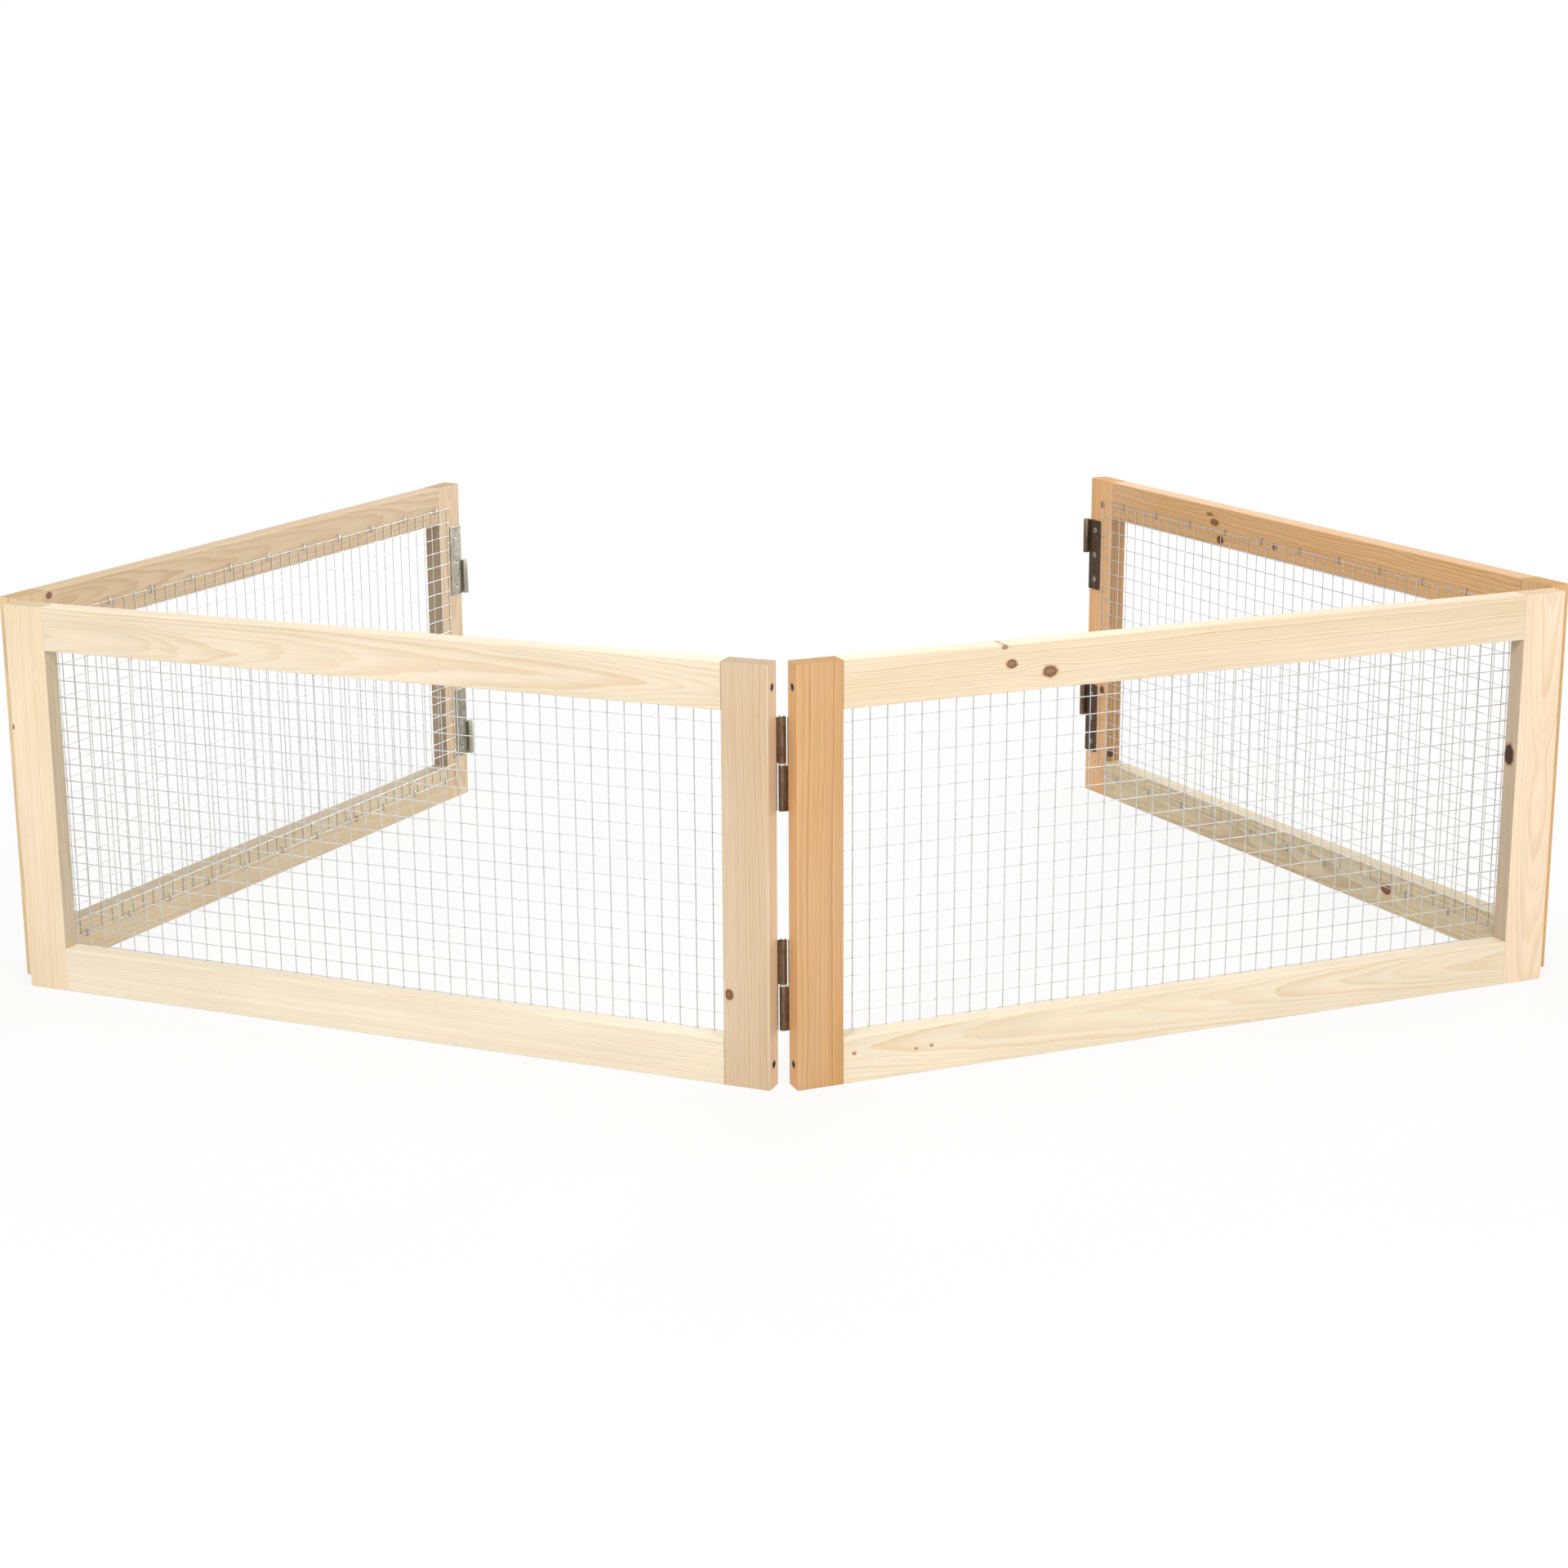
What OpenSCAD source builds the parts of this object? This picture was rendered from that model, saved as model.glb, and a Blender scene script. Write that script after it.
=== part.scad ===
// Guinea pig pen: four framed wire panels joined by hinges with loose pins.
// Millimetres, +Z up. The origin is on the floor, at the middle of the standing pen.
// In a panel's own frame x runs from its left end to its right end as seen from outside
// the pen, y runs from the outer face to the inner face, and z runs up from the floor.

/* [Panel frame] */
// Width of one panel over its two stiles
panel_w = 900; // [600:10:1300]
// Height of one panel
panel_h = 440; // [380:5:700]
// Thickness of every timber, from outer face to inner face
timber_t = 23; // [20:1:35]
// Width of a stile, seen from the front
stile_w = 50; // [48:1:75]
// Height of a top rail
top_rail_h = 49; // [40:1:80]
// Height of a bottom rail
bottom_rail_h = 49; // [40:1:80]
// Chamfer along the long edges of every timber
arris = 0.8; // [0.4:0.1:2]

/* [Standing angles] */
// Angle inside the pen between the two front panels
front_angle = 136; // [112:1:180]
// Angle inside the pen between a front panel and its back panel
corner_angle = 85; // [78:1:130]

/* [Wire mesh] */
// Spacing of the mesh wires both ways
mesh_pitch = 19; // [12:1:26]
// Diameter of a mesh wire
wire_d = 1.05; // [0.8:0.05:2.2]
// Wanted overlap of the mesh onto the timbers, which the spacing rounds up or down
mesh_overlap = 17; // [14:1:18]
// Length of wire that sticks out past the border wire
wire_stub = 1.2; // [0.8:0.1:2]

/* [Hinges] */
// Height of a hinge leaf
hinge_h = 96; // [80:1:120]
// Height of a hinge's middle from the nearer end of the panel
hinge_inset = 105; // [70:1:130]
// Width of a hinge leaf on its stile
leaf_w = 26; // [20:1:27]
// Thickness of a hinge leaf
leaf_t = 1.5; // [1.2:0.1:2]
// Radius of a leaf's two free corners
leaf_corner_r = 3; // [1:0.5:5]
// Outside diameter of a knuckle
knuckle_d = 8; // [7:0.5:10]
// Gap between a knuckle and the end face of a stile
knuckle_clearance = 0.5; // [0.4:0.1:1.5]
// Thickness of the washer between two knuckles
washer_t = 2.4; // [1:0.1:4]
// Free height above and below a washer
washer_play = 0.3; // [0.2:0.1:0.5]
// Length of a hinge pin below its head
pin_l = 80; // [60:1:82]
// Running clearance of a pin in its knuckles, on the radius
pin_clearance = 0.05; // [0.03:0.01:0.09]
// Diameter of the head on top of a hinge pin
pin_head_d = 7; // [6:0.1:7.8]
// Height of that head
pin_head_h = 1.6; // [1:0.1:2.5]

/* [Screws] */
// Head diameter of a hinge screw
hinge_screw_head_d = 7; // [6:0.1:8]
// Shank diameter of a hinge screw
hinge_screw_d = 3.5; // [3:0.1:4.5]
// Length of a hinge screw
hinge_screw_l = 18; // [12:1:20]
// Distance of the first and last hinge screw from the ends of the leaf
hinge_screw_inset = 14; // [8:1:20]
// Head diameter of a frame screw
frame_screw_head_d = 8.4; // [7:0.1:10]
// Shank diameter of a frame screw
frame_screw_d = 4.5; // [4:0.1:6]
// Length of frame screw that goes past the stile into the rail
frame_screw_bite = 30; // [20:1:50]
// Radial clearance of every screw in its hole
screw_clearance = 0.1; // [0.05:0.01:0.2]

/* [Staples] */
// Outside width of a staple across its two legs
staple_w = 9; // [8:0.5:9.5]
// Width of the flat staple wire
staple_wire_w = 1.3; // [1:0.1:1.6]
// Thickness of the flat staple wire
staple_wire_t = 0.8; // [0.6:0.1:1.2]
// Depth of a staple's legs in the timber
staple_bite = 9; // [6:0.5:12]
// Number of mesh spaces from one staple to the next
staple_every = 4; // [2:1:6]

/* [Hidden] */
$fn = 48;

// The four panels, from the free end at the back left round to the free end at the back right
PANELS = ["back_left", "front_left", "front_right", "back_right"];
PANEL_PIECES = [
    "left_stile", "right_stile", "top_rail", "bottom_rail",
    "wire_mesh", "mesh_staples", "frame_screws", "hinge_screws",
    "left_upper_hinge", "left_lower_hinge", "right_upper_hinge", "right_lower_hinge"
];
// The three connections between panels, from left to right
CONNECTIONS = ["left_corner", "front", "right_corner"];
CONNECTION_PIECES = ["washers", "upper_pin", "lower_pin"];

// Colours of each panel's rails, left stile and right stile
RAIL_COLOURS = ["#c9a878", "#ecd2a4", "#efd2a0", "#b98a52"];
LEFT_STILE_COLOURS = ["#bfa077", "#e9cfa2", "#d9a160", "#c29460"];
RIGHT_STILE_COLOURS = ["#c4a274", "#e2c597", "#e8c893", "#b78d58"];
GALVANISED = "#b9bdbb";
HINGE_METAL = "#6f6a61";
WASHER_PLASTIC = "#e9e6dc";

// Hinge geometry: a leaf lies flat on the inner face of its stile, and is let a little
// deeper into the barrel than the tangent
leaf_set_in = 0.3;
hinge_gap = knuckle_d + 2 * knuckle_clearance;
axis_off = knuckle_d / 2 - leaf_set_in;
axis_y = timber_t + axis_off;
axis_span = panel_w + hinge_gap;
knuckle_gap = washer_t + 2 * washer_play;
knuckle_h = (hinge_h - knuckle_gap) / 2;
bore_r = knuckle_d / 2 - leaf_t;
pin_r = bore_r - pin_clearance;
pin_tip = 1;
pin_head_chamfer = 0.5;
pin_seat = 0.2;
washer_bore_r = bore_r + 0.1;
hinge_heights = [hinge_inset, panel_h - hinge_inset];
LOWER = 0;
UPPER = 1;

// Where the panels stand: the heading is the direction of a panel's own x axis
front_turn = (180 - front_angle) / 2;
back_turn = front_turn + 180 - corner_angle;
HEADINGS = [-back_turn, -front_turn, front_turn, back_turn];
// Depth of the pen from the outer edges at the front to the outer corners of the free ends
front_edge_y = hinge_gap / 2 * sin(front_turn) - axis_y * cos(front_turn);
back_edge_y = axis_span * sin(front_turn) + (panel_w + hinge_gap / 2) * sin(back_turn)
    - axis_y * cos(back_turn);
front_axis = [0, -(front_edge_y + back_edge_y) / 2];
corner_offset = axis_span * [cos(front_turn), sin(front_turn)];
left_axis = front_axis + [-corner_offset[0], corner_offset[1]];
right_axis = front_axis + corner_offset;
CONNECTION_AXES = [left_axis, front_axis, right_axis];

// Mesh layout: whole spaces, centred on the opening
opening_w = panel_w - 2 * stile_w;
opening_h = panel_h - top_rail_h - bottom_rail_h;
mesh_cols = round((opening_w + 2 * mesh_overlap) / mesh_pitch);
mesh_rows = round((opening_h + 2 * mesh_overlap) / mesh_pitch);
mesh_w = mesh_cols * mesh_pitch;
mesh_h = mesh_rows * mesh_pitch;
mesh_left = (panel_w - mesh_w) / 2;
mesh_bottom = bottom_rail_h + (opening_h - mesh_h) / 2;
// The upright wires lie on the timbers, and the cross wires on the upright wires
wire_seat = 0.05;
weld_gap = 0.02;
upright_y = timber_t + wire_seat + wire_d / 2;
crosswire_y = upright_y + wire_d + weld_gap;
staple_seat = 0.05;

// Screw heads: a 90 degree countersink
hinge_screw_head_h = (hinge_screw_head_d - hinge_screw_d) / 2;
frame_screw_head_h = (frame_screw_head_d - frame_screw_d) / 2;
frame_screw_l = stile_w + frame_screw_bite;
hinge_screw_x = leaf_w / 2;
hinge_screw_reach = hinge_h / 2 - hinge_screw_inset;

// Puts a panel's piece where that panel stands. The front panels and the back right panel
// hang from the axis nearer the front.
module place_panel(i) {
    at_right_axis = i < 2;
    anchor = i == 0 ? left_axis : i == 3 ? right_axis : front_axis;
    anchor_x = at_right_axis ? panel_w + hinge_gap / 2 : -hinge_gap / 2;
    translate([anchor[0], anchor[1], 0])
        rotate([0, 0, HEADINGS[i]])
            translate([-anchor_x, -axis_y, 0])
                children();
}

// Mirrors a piece of the left end to the right end of a panel
module at_right_end() {
    translate([panel_w, 0, 0])
        mirror([1, 0, 0])
            children();
}

// Section of a timber with its four long edges chamfered
module timber_section(width, depth) {
    polygon([
        [arris, 0], [width - arris, 0], [width, arris], [width, depth - arris],
        [width - arris, depth], [arris, depth], [0, depth - arris], [0, arris]
    ]);
}

// A countersunk wood screw whose head lies at z = 0 and whose shank points down.
// grow widens and lengthens it into its own hole.
module screw_body(head_d, shank_d, head_h, length, grow = 0) {
    rim = 0.3;
    tip = 1.6 * shank_d;
    top = grow > 0 ? 1 : 0;
    rotate_extrude()
        polygon([
            [0, top], [head_d / 2 + grow, top], [head_d / 2 + grow, -rim],
            [shank_d / 2 + grow, -rim - head_h], [shank_d / 2 + grow, -length + tip],
            [0.4 + grow, -length - grow], [0, -length - grow]
        ]);
}

// A wood screw with a cross recess in its head
module wood_screw(head_d, shank_d, head_h, length) {
    recess_w = 0.16 * head_d;
    recess_l = 0.62 * head_d;
    recess_depth = 0.6 * head_h;
    difference() {
        screw_body(head_d, shank_d, head_h, length);
        for (turn = [0, 90])
            rotate([0, 0, turn])
                translate([-recess_l / 2, -recess_w / 2, -recess_depth])
                    cube([recess_l, recess_w, recess_depth + 1]);
    }
}

module hinge_screw_shape(grow = 0) {
    if (grow > 0)
        screw_body(hinge_screw_head_d, hinge_screw_d, hinge_screw_head_h, hinge_screw_l, grow);
    else
        wood_screw(hinge_screw_head_d, hinge_screw_d, hinge_screw_head_h, hinge_screw_l);
}

module frame_screw_shape(grow = 0) {
    if (grow > 0)
        screw_body(frame_screw_head_d, frame_screw_d, frame_screw_head_h, frame_screw_l, grow);
    else
        wood_screw(frame_screw_head_d, frame_screw_d, frame_screw_head_h, frame_screw_l);
}

// Places of the three screws of one leaf at the left end, heads on the leaf's free face
module at_leaf_screws(level) {
    for (step = [-1, 0, 1])
        translate([hinge_screw_x, timber_t + leaf_t, hinge_heights[level] + step * hinge_screw_reach])
            rotate([-90, 0, 0])
                children();
}

// Places of the two frame screws at the left end, heads on the stile's end face
module at_frame_screws() {
    for (z = [bottom_rail_h / 2, panel_h - top_rail_h / 2])
        translate([0, timber_t / 2, z])
            rotate([0, -90, 0])
                children();
}

// A stile at the left end, bored for its frame screws and hinge screws
module stile() {
    difference() {
        linear_extrude(panel_h)
            timber_section(stile_w, timber_t);
        at_frame_screws()
            frame_screw_shape(screw_clearance);
        for (level = [LOWER, UPPER])
            at_leaf_screws(level)
                hinge_screw_shape(screw_clearance);
    }
}

module left_stile(i) {
    color(LEFT_STILE_COLOURS[i])
        stile();
}

module right_stile(i) {
    color(RIGHT_STILE_COLOURS[i])
        at_right_end()
            stile();
}

// A rail between the stiles, bored at both ends for the frame screws
module rail(height, z) {
    difference() {
        translate([stile_w, 0, z])
            rotate([90, 0, 90])
                linear_extrude(opening_w)
                    timber_section(timber_t, height);
        at_frame_screws()
            frame_screw_shape(screw_clearance);
        at_right_end()
            at_frame_screws()
                frame_screw_shape(screw_clearance);
    }
}

module top_rail(i) {
    color(RAIL_COLOURS[i])
        rail(top_rail_h, panel_h - top_rail_h);
}

module bottom_rail(i) {
    color(RAIL_COLOURS[i])
        rail(bottom_rail_h, 0);
}

module frame_screws() {
    color(HINGE_METAL) {
        at_frame_screws()
            frame_screw_shape();
        at_right_end()
            at_frame_screws()
                frame_screw_shape();
    }
}

// The welded mesh: upright wires on the timbers, and cross wires on the upright wires
module wire_mesh() {
    color(GALVANISED) {
        for (col = [0 : mesh_cols])
            translate([mesh_left + col * mesh_pitch, upright_y, mesh_bottom - wire_stub])
                cylinder(d = wire_d, h = mesh_h + 2 * wire_stub);
        for (row = [0 : mesh_rows])
            translate([mesh_left - wire_stub, crosswire_y, mesh_bottom + row * mesh_pitch])
                rotate([0, 90, 0])
                    cylinder(d = wire_d, h = mesh_w + 2 * wire_stub);
    }
}

// A staple over a wire at height y above the floor of its own frame: the crown runs
// along x, and the legs go down to depth below z = 0
module staple(crown_z) {
    translate([-staple_w / 2, -staple_wire_w / 2, crown_z])
        cube([staple_w, staple_wire_w, staple_wire_t]);
    for (side = [-1, 1])
        translate([side * (staple_w - staple_wire_t) / 2 - staple_wire_t / 2, -staple_wire_w / 2, -staple_bite])
            cube([staple_wire_t, staple_wire_w, staple_bite + crown_z + staple_wire_t]);
}

module mesh_staples() {
    over_crosswire = wire_seat + 2 * wire_d + weld_gap + staple_seat;
    over_upright = wire_seat + wire_d + staple_seat;
    color(GALVANISED) {
        // Along the top and bottom borders, halfway between two upright wires
        for (col = [1 : staple_every : mesh_cols - 2])
            for (z = [mesh_bottom, mesh_bottom + mesh_h])
                translate([mesh_left + (col + 0.5) * mesh_pitch, timber_t, z])
                    rotate([-90, 90, 0])
                        staple(over_crosswire);
        // Along the two sides, halfway between two cross wires
        for (row = [1 : staple_every : mesh_rows - 2])
            for (x = [mesh_left, mesh_left + mesh_w])
                translate([x, timber_t, mesh_bottom + (row + 0.5) * mesh_pitch])
                    rotate([-90, 0, 0])
                        staple(over_upright);
    }
}

// Leaf plate with two round corners at its free edge, from the end of the stile inwards
module leaf_plate() {
    translate([0, 0, -hinge_h / 2]) {
        cube([leaf_w - leaf_corner_r, leaf_t, hinge_h]);
        translate([0, 0, leaf_corner_r])
            cube([leaf_w, leaf_t, hinge_h - 2 * leaf_corner_r]);
        for (z = [leaf_corner_r, hinge_h - leaf_corner_r])
            translate([leaf_w - leaf_corner_r, 0, z])
                rotate([-90, 0, 0])
                    cylinder(r = leaf_corner_r, h = leaf_t);
    }
}

// One hinge half at the left end: a full leaf and a knuckle that starts at knuckle_z,
// both counted from the hinge's middle
module hinge_half(level, knuckle_z) {
    difference() {
        translate([0, timber_t, hinge_heights[level]]) {
            leaf_plate();
            translate([-hinge_gap / 2, 0, knuckle_z])
                cube([hinge_gap / 2 + leaf_t, leaf_t, knuckle_h]);
            translate([-hinge_gap / 2, axis_off, knuckle_z])
                cylinder(d = knuckle_d, h = knuckle_h);
        }
        translate([-hinge_gap / 2, axis_y, hinge_heights[level] + knuckle_z - 1])
            cylinder(r = bore_r, h = knuckle_h + 2);
        at_leaf_screws(level)
            hinge_screw_shape(screw_clearance);
    }
}

// The hinges at the left end of a panel have their knuckles below
module left_hinge(level) {
    color(HINGE_METAL)
        hinge_half(level, -hinge_h / 2);
}

// The hinges at the right end of a panel have their knuckles above
module right_hinge(level) {
    color(HINGE_METAL)
        at_right_end()
            hinge_half(level, knuckle_gap / 2);
}

module hinge_screws() {
    color(GALVANISED)
        for (level = [LOWER, UPPER]) {
            at_leaf_screws(level)
                hinge_screw_shape();
            at_right_end()
                at_leaf_screws(level)
                    hinge_screw_shape();
        }
}

// The two washers of one connection, on the pins between the knuckles
module washers(connection) {
    spot = CONNECTION_AXES[connection];
    color(WASHER_PLASTIC)
        for (height = hinge_heights)
            translate([spot[0], spot[1], height - washer_t / 2])
                difference() {
                    cylinder(d = knuckle_d, h = washer_t);
                    translate([0, 0, -1])
                        cylinder(r = washer_bore_r, h = washer_t + 2);
                }
}

// A loose pin that hangs by its head on the upper knuckle and reaches into the lower one
module hinge_pin(connection, level) {
    spot = CONNECTION_AXES[connection];
    color(GALVANISED)
        translate([spot[0], spot[1], hinge_heights[level] + hinge_h / 2 + pin_seat])
            rotate_extrude()
                polygon([
                    [0, -pin_l], [pin_r - pin_tip, -pin_l], [pin_r, -pin_l + pin_tip],
                    [pin_r, 0], [pin_head_d / 2, 0],
                    [pin_head_d / 2, pin_head_h - pin_head_chamfer],
                    [pin_head_d / 2 - pin_head_chamfer, pin_head_h], [0, pin_head_h]
                ]);
}

for (i = [0 : len(PANELS) - 1]) {
    place_panel(i) left_stile(i);
    place_panel(i) right_stile(i);
    place_panel(i) top_rail(i);
    place_panel(i) bottom_rail(i);
    place_panel(i) wire_mesh();
    place_panel(i) mesh_staples();
    place_panel(i) frame_screws();
    place_panel(i) hinge_screws();
    place_panel(i) left_hinge(UPPER);
    place_panel(i) left_hinge(LOWER);
    place_panel(i) right_hinge(UPPER);
    place_panel(i) right_hinge(LOWER);
}
for (c = [0 : len(CONNECTIONS) - 1]) {
    washers(c);
    hinge_pin(c, UPPER);
    hinge_pin(c, LOWER);
}
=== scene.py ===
"""Looks of the guinea pig pen: pine frames, welded wire mesh, staples, screws and hinges."""
import math

import bmesh
import bpy
from bpy.props import FloatProperty, FloatVectorProperty, PointerProperty
from bpy.types import Operator, Panel, PropertyGroup
from mathutils import Matrix, Vector


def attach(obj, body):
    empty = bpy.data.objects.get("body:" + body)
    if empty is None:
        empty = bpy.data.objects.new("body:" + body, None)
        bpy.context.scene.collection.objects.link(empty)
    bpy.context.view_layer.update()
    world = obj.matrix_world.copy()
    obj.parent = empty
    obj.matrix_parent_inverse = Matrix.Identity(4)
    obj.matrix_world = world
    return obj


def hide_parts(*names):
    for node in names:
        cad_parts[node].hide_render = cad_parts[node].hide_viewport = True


bl_info = {
    "name": "Guinea pig pen",
    "version": (1, 0, 0),
    "blender": (4, 5, 0),
    "location": "3D View > Sidebar > Pen",
    "description": "Finishes the folding pen of pine panels and welded wire mesh",
    "category": "Object",
}

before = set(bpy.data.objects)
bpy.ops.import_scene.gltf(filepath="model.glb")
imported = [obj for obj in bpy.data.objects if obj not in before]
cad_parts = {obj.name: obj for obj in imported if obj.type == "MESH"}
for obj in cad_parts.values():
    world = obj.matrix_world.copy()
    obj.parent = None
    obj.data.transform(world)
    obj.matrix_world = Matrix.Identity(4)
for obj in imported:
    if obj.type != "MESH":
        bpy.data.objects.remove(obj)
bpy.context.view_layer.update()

# Sizes that the solid model also has, in metres
PANEL_W = 0.900
PANEL_H = 0.440
TIMBER_T = 0.023
STILE_W = 0.050
RAIL_H = 0.049
ARRIS = 0.0008
FRONT_ANGLE = math.radians(136)
CORNER_ANGLE = math.radians(85)
MESH_PITCH = 0.019
MESH_COLS = 44
MESH_ROWS = 20
WIRE_D = 0.00105
WIRE_SEAT = 0.00005
WELD_GAP = 0.00002
STAPLE_W = 0.009
STAPLE_WIRE_W = 0.0013
STAPLE_WIRE_T = 0.0008
STAPLE_BITE = 0.009
STAPLE_SEAT = 0.00005
STAPLE_EVERY = 4
HINGE_H = 0.096
HINGE_HEIGHTS = {"lower": 0.105, "upper": 0.335}
HINGE_GAP = 0.009
LEAF_W = 0.026
LEAF_T = 0.0015
LEAF_CORNER_R = 0.003
LEAF_SET_IN = 0.0003
KNUCKLE_R = 0.004
KNUCKLE_GAP = 0.003
KNUCKLE_H = (HINGE_H - KNUCKLE_GAP) / 2
WASHER_T = 0.0024
WASHER_BORE_R = 0.0026
PIN_R = 0.00245
PIN_L = 0.080
PIN_HEAD_R = 0.0035
PIN_HEAD_H = 0.0016
PIN_SEAT = 0.0002
HINGE_SCREW = {"head_r": 0.0035, "shank_r": 0.00175, "length": 0.018}
FRAME_SCREW = {"head_r": 0.0042, "shank_r": 0.00225, "length": 0.080}
HINGE_SCREW_INSET = 0.014
SCREW_ROWS = [step * (HINGE_H / 2 - HINGE_SCREW_INSET) for step in (-1, 0, 1)]

# Where the panels stand: the heading is the direction of a panel's own x axis
PANELS = ("back_left", "front_left", "front_right", "back_right")
CONNECTIONS = ("left_corner", "front", "right_corner")
AXIS_OFF = KNUCKLE_R - LEAF_SET_IN
AXIS_Y = TIMBER_T + AXIS_OFF
AXIS_SPAN = PANEL_W + HINGE_GAP
FRONT_TURN = (math.pi - FRONT_ANGLE) / 2
BACK_TURN = FRONT_TURN + math.pi - CORNER_ANGLE
HEADINGS = dict(zip(PANELS, (-BACK_TURN, -FRONT_TURN, FRONT_TURN, BACK_TURN)))
FRONT_EDGE_Y = HINGE_GAP / 2 * math.sin(FRONT_TURN) - AXIS_Y * math.cos(FRONT_TURN)
BACK_EDGE_Y = (
    AXIS_SPAN * math.sin(FRONT_TURN)
    + (PANEL_W + HINGE_GAP / 2) * math.sin(BACK_TURN)
    - AXIS_Y * math.cos(BACK_TURN)
)
FRONT_AXIS = Vector((0, -(FRONT_EDGE_Y + BACK_EDGE_Y) / 2, 0))
CORNER = AXIS_SPAN * Vector((math.cos(FRONT_TURN), math.sin(FRONT_TURN), 0))
AXES = {
    "left_corner": FRONT_AXIS + Vector((-CORNER.x, CORNER.y, 0)),
    "front": FRONT_AXIS,
    "right_corner": FRONT_AXIS + CORNER,
}
MESH_LEFT = (PANEL_W - MESH_COLS * MESH_PITCH) / 2
MESH_BOTTOM = (PANEL_H - MESH_ROWS * MESH_PITCH) / 2
UPRIGHT_Y = TIMBER_T + WIRE_SEAT + WIRE_D / 2
CROSSWIRE_Y = UPRIGHT_Y + WIRE_D + WELD_GAP

# Small values of the finish: one millimetre in metres, the distance below which two points are one,
# the facets of a round edge, the space round a screw's head, the turns from one weld bead to the next
# along and up the mesh, and the steps between the grains of two timbers and the screws of two panels
MM = 0.001
SAME_PLACE = 1e-7
ROUND_STEPS = 24
SCREW_SLACK = 0.0001
BEAD_TURN = (1.7, 2.3)
SEED_STEP = 3.7
SCREW_STEP = 11

# The lamps: name, place, the point it faces, the setting that gives its power, share of it, diameter
LAMPS = (
    ("key_light", (-2.0, -3.6, 2.3), (0, 0, 0.2), "key_power", 1.0, 1.4),
    ("fill_light", (2.3, -3.3, 1.7), (0, 0, 0.2), "fill_power", 1.0, 1.4),
    ("back_light", (0.4, 3.2, 2.4), (0, 0, 0.2), "fill_power", 0.85, 2.4),
    ("side_light", (2.97, 2.5, 0.62), (-0.43, 0.58, 0.3), "side_power", 1.0, 1.1),
    ("top_light", (0, -0.2, 3.4), (0, 0, 0), "top_power", 1.0, 3.0),
)

# The floor's own tone, the distances between which it turns plain white, and the white's share near the pen
FLOOR_TONE = (0.80, 0.80, 0.80)
WHITE = (1.0, 1.0, 1.0)
WHITE_GROWS = (0.75, 1.9)
WHITE_NEAR = 0.86

# The camera that was fitted to the photograph: millimetres and shares of the picture, metres, radians
CAMERA = {
    "sensor_width": 36.0, "lens": 64.333, "shift_x": 0.05853, "shift_y": -0.01914,
    "clip_start": 0.1, "clip_end": 50.0,
}
CAMERA_PLACE = (-0.02208, -3.24722, 1.02935)
CAMERA_YAW = 0.02491
CAMERA_PITCH = 0.24974
CAMERA_ROLL = -0.0129

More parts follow.
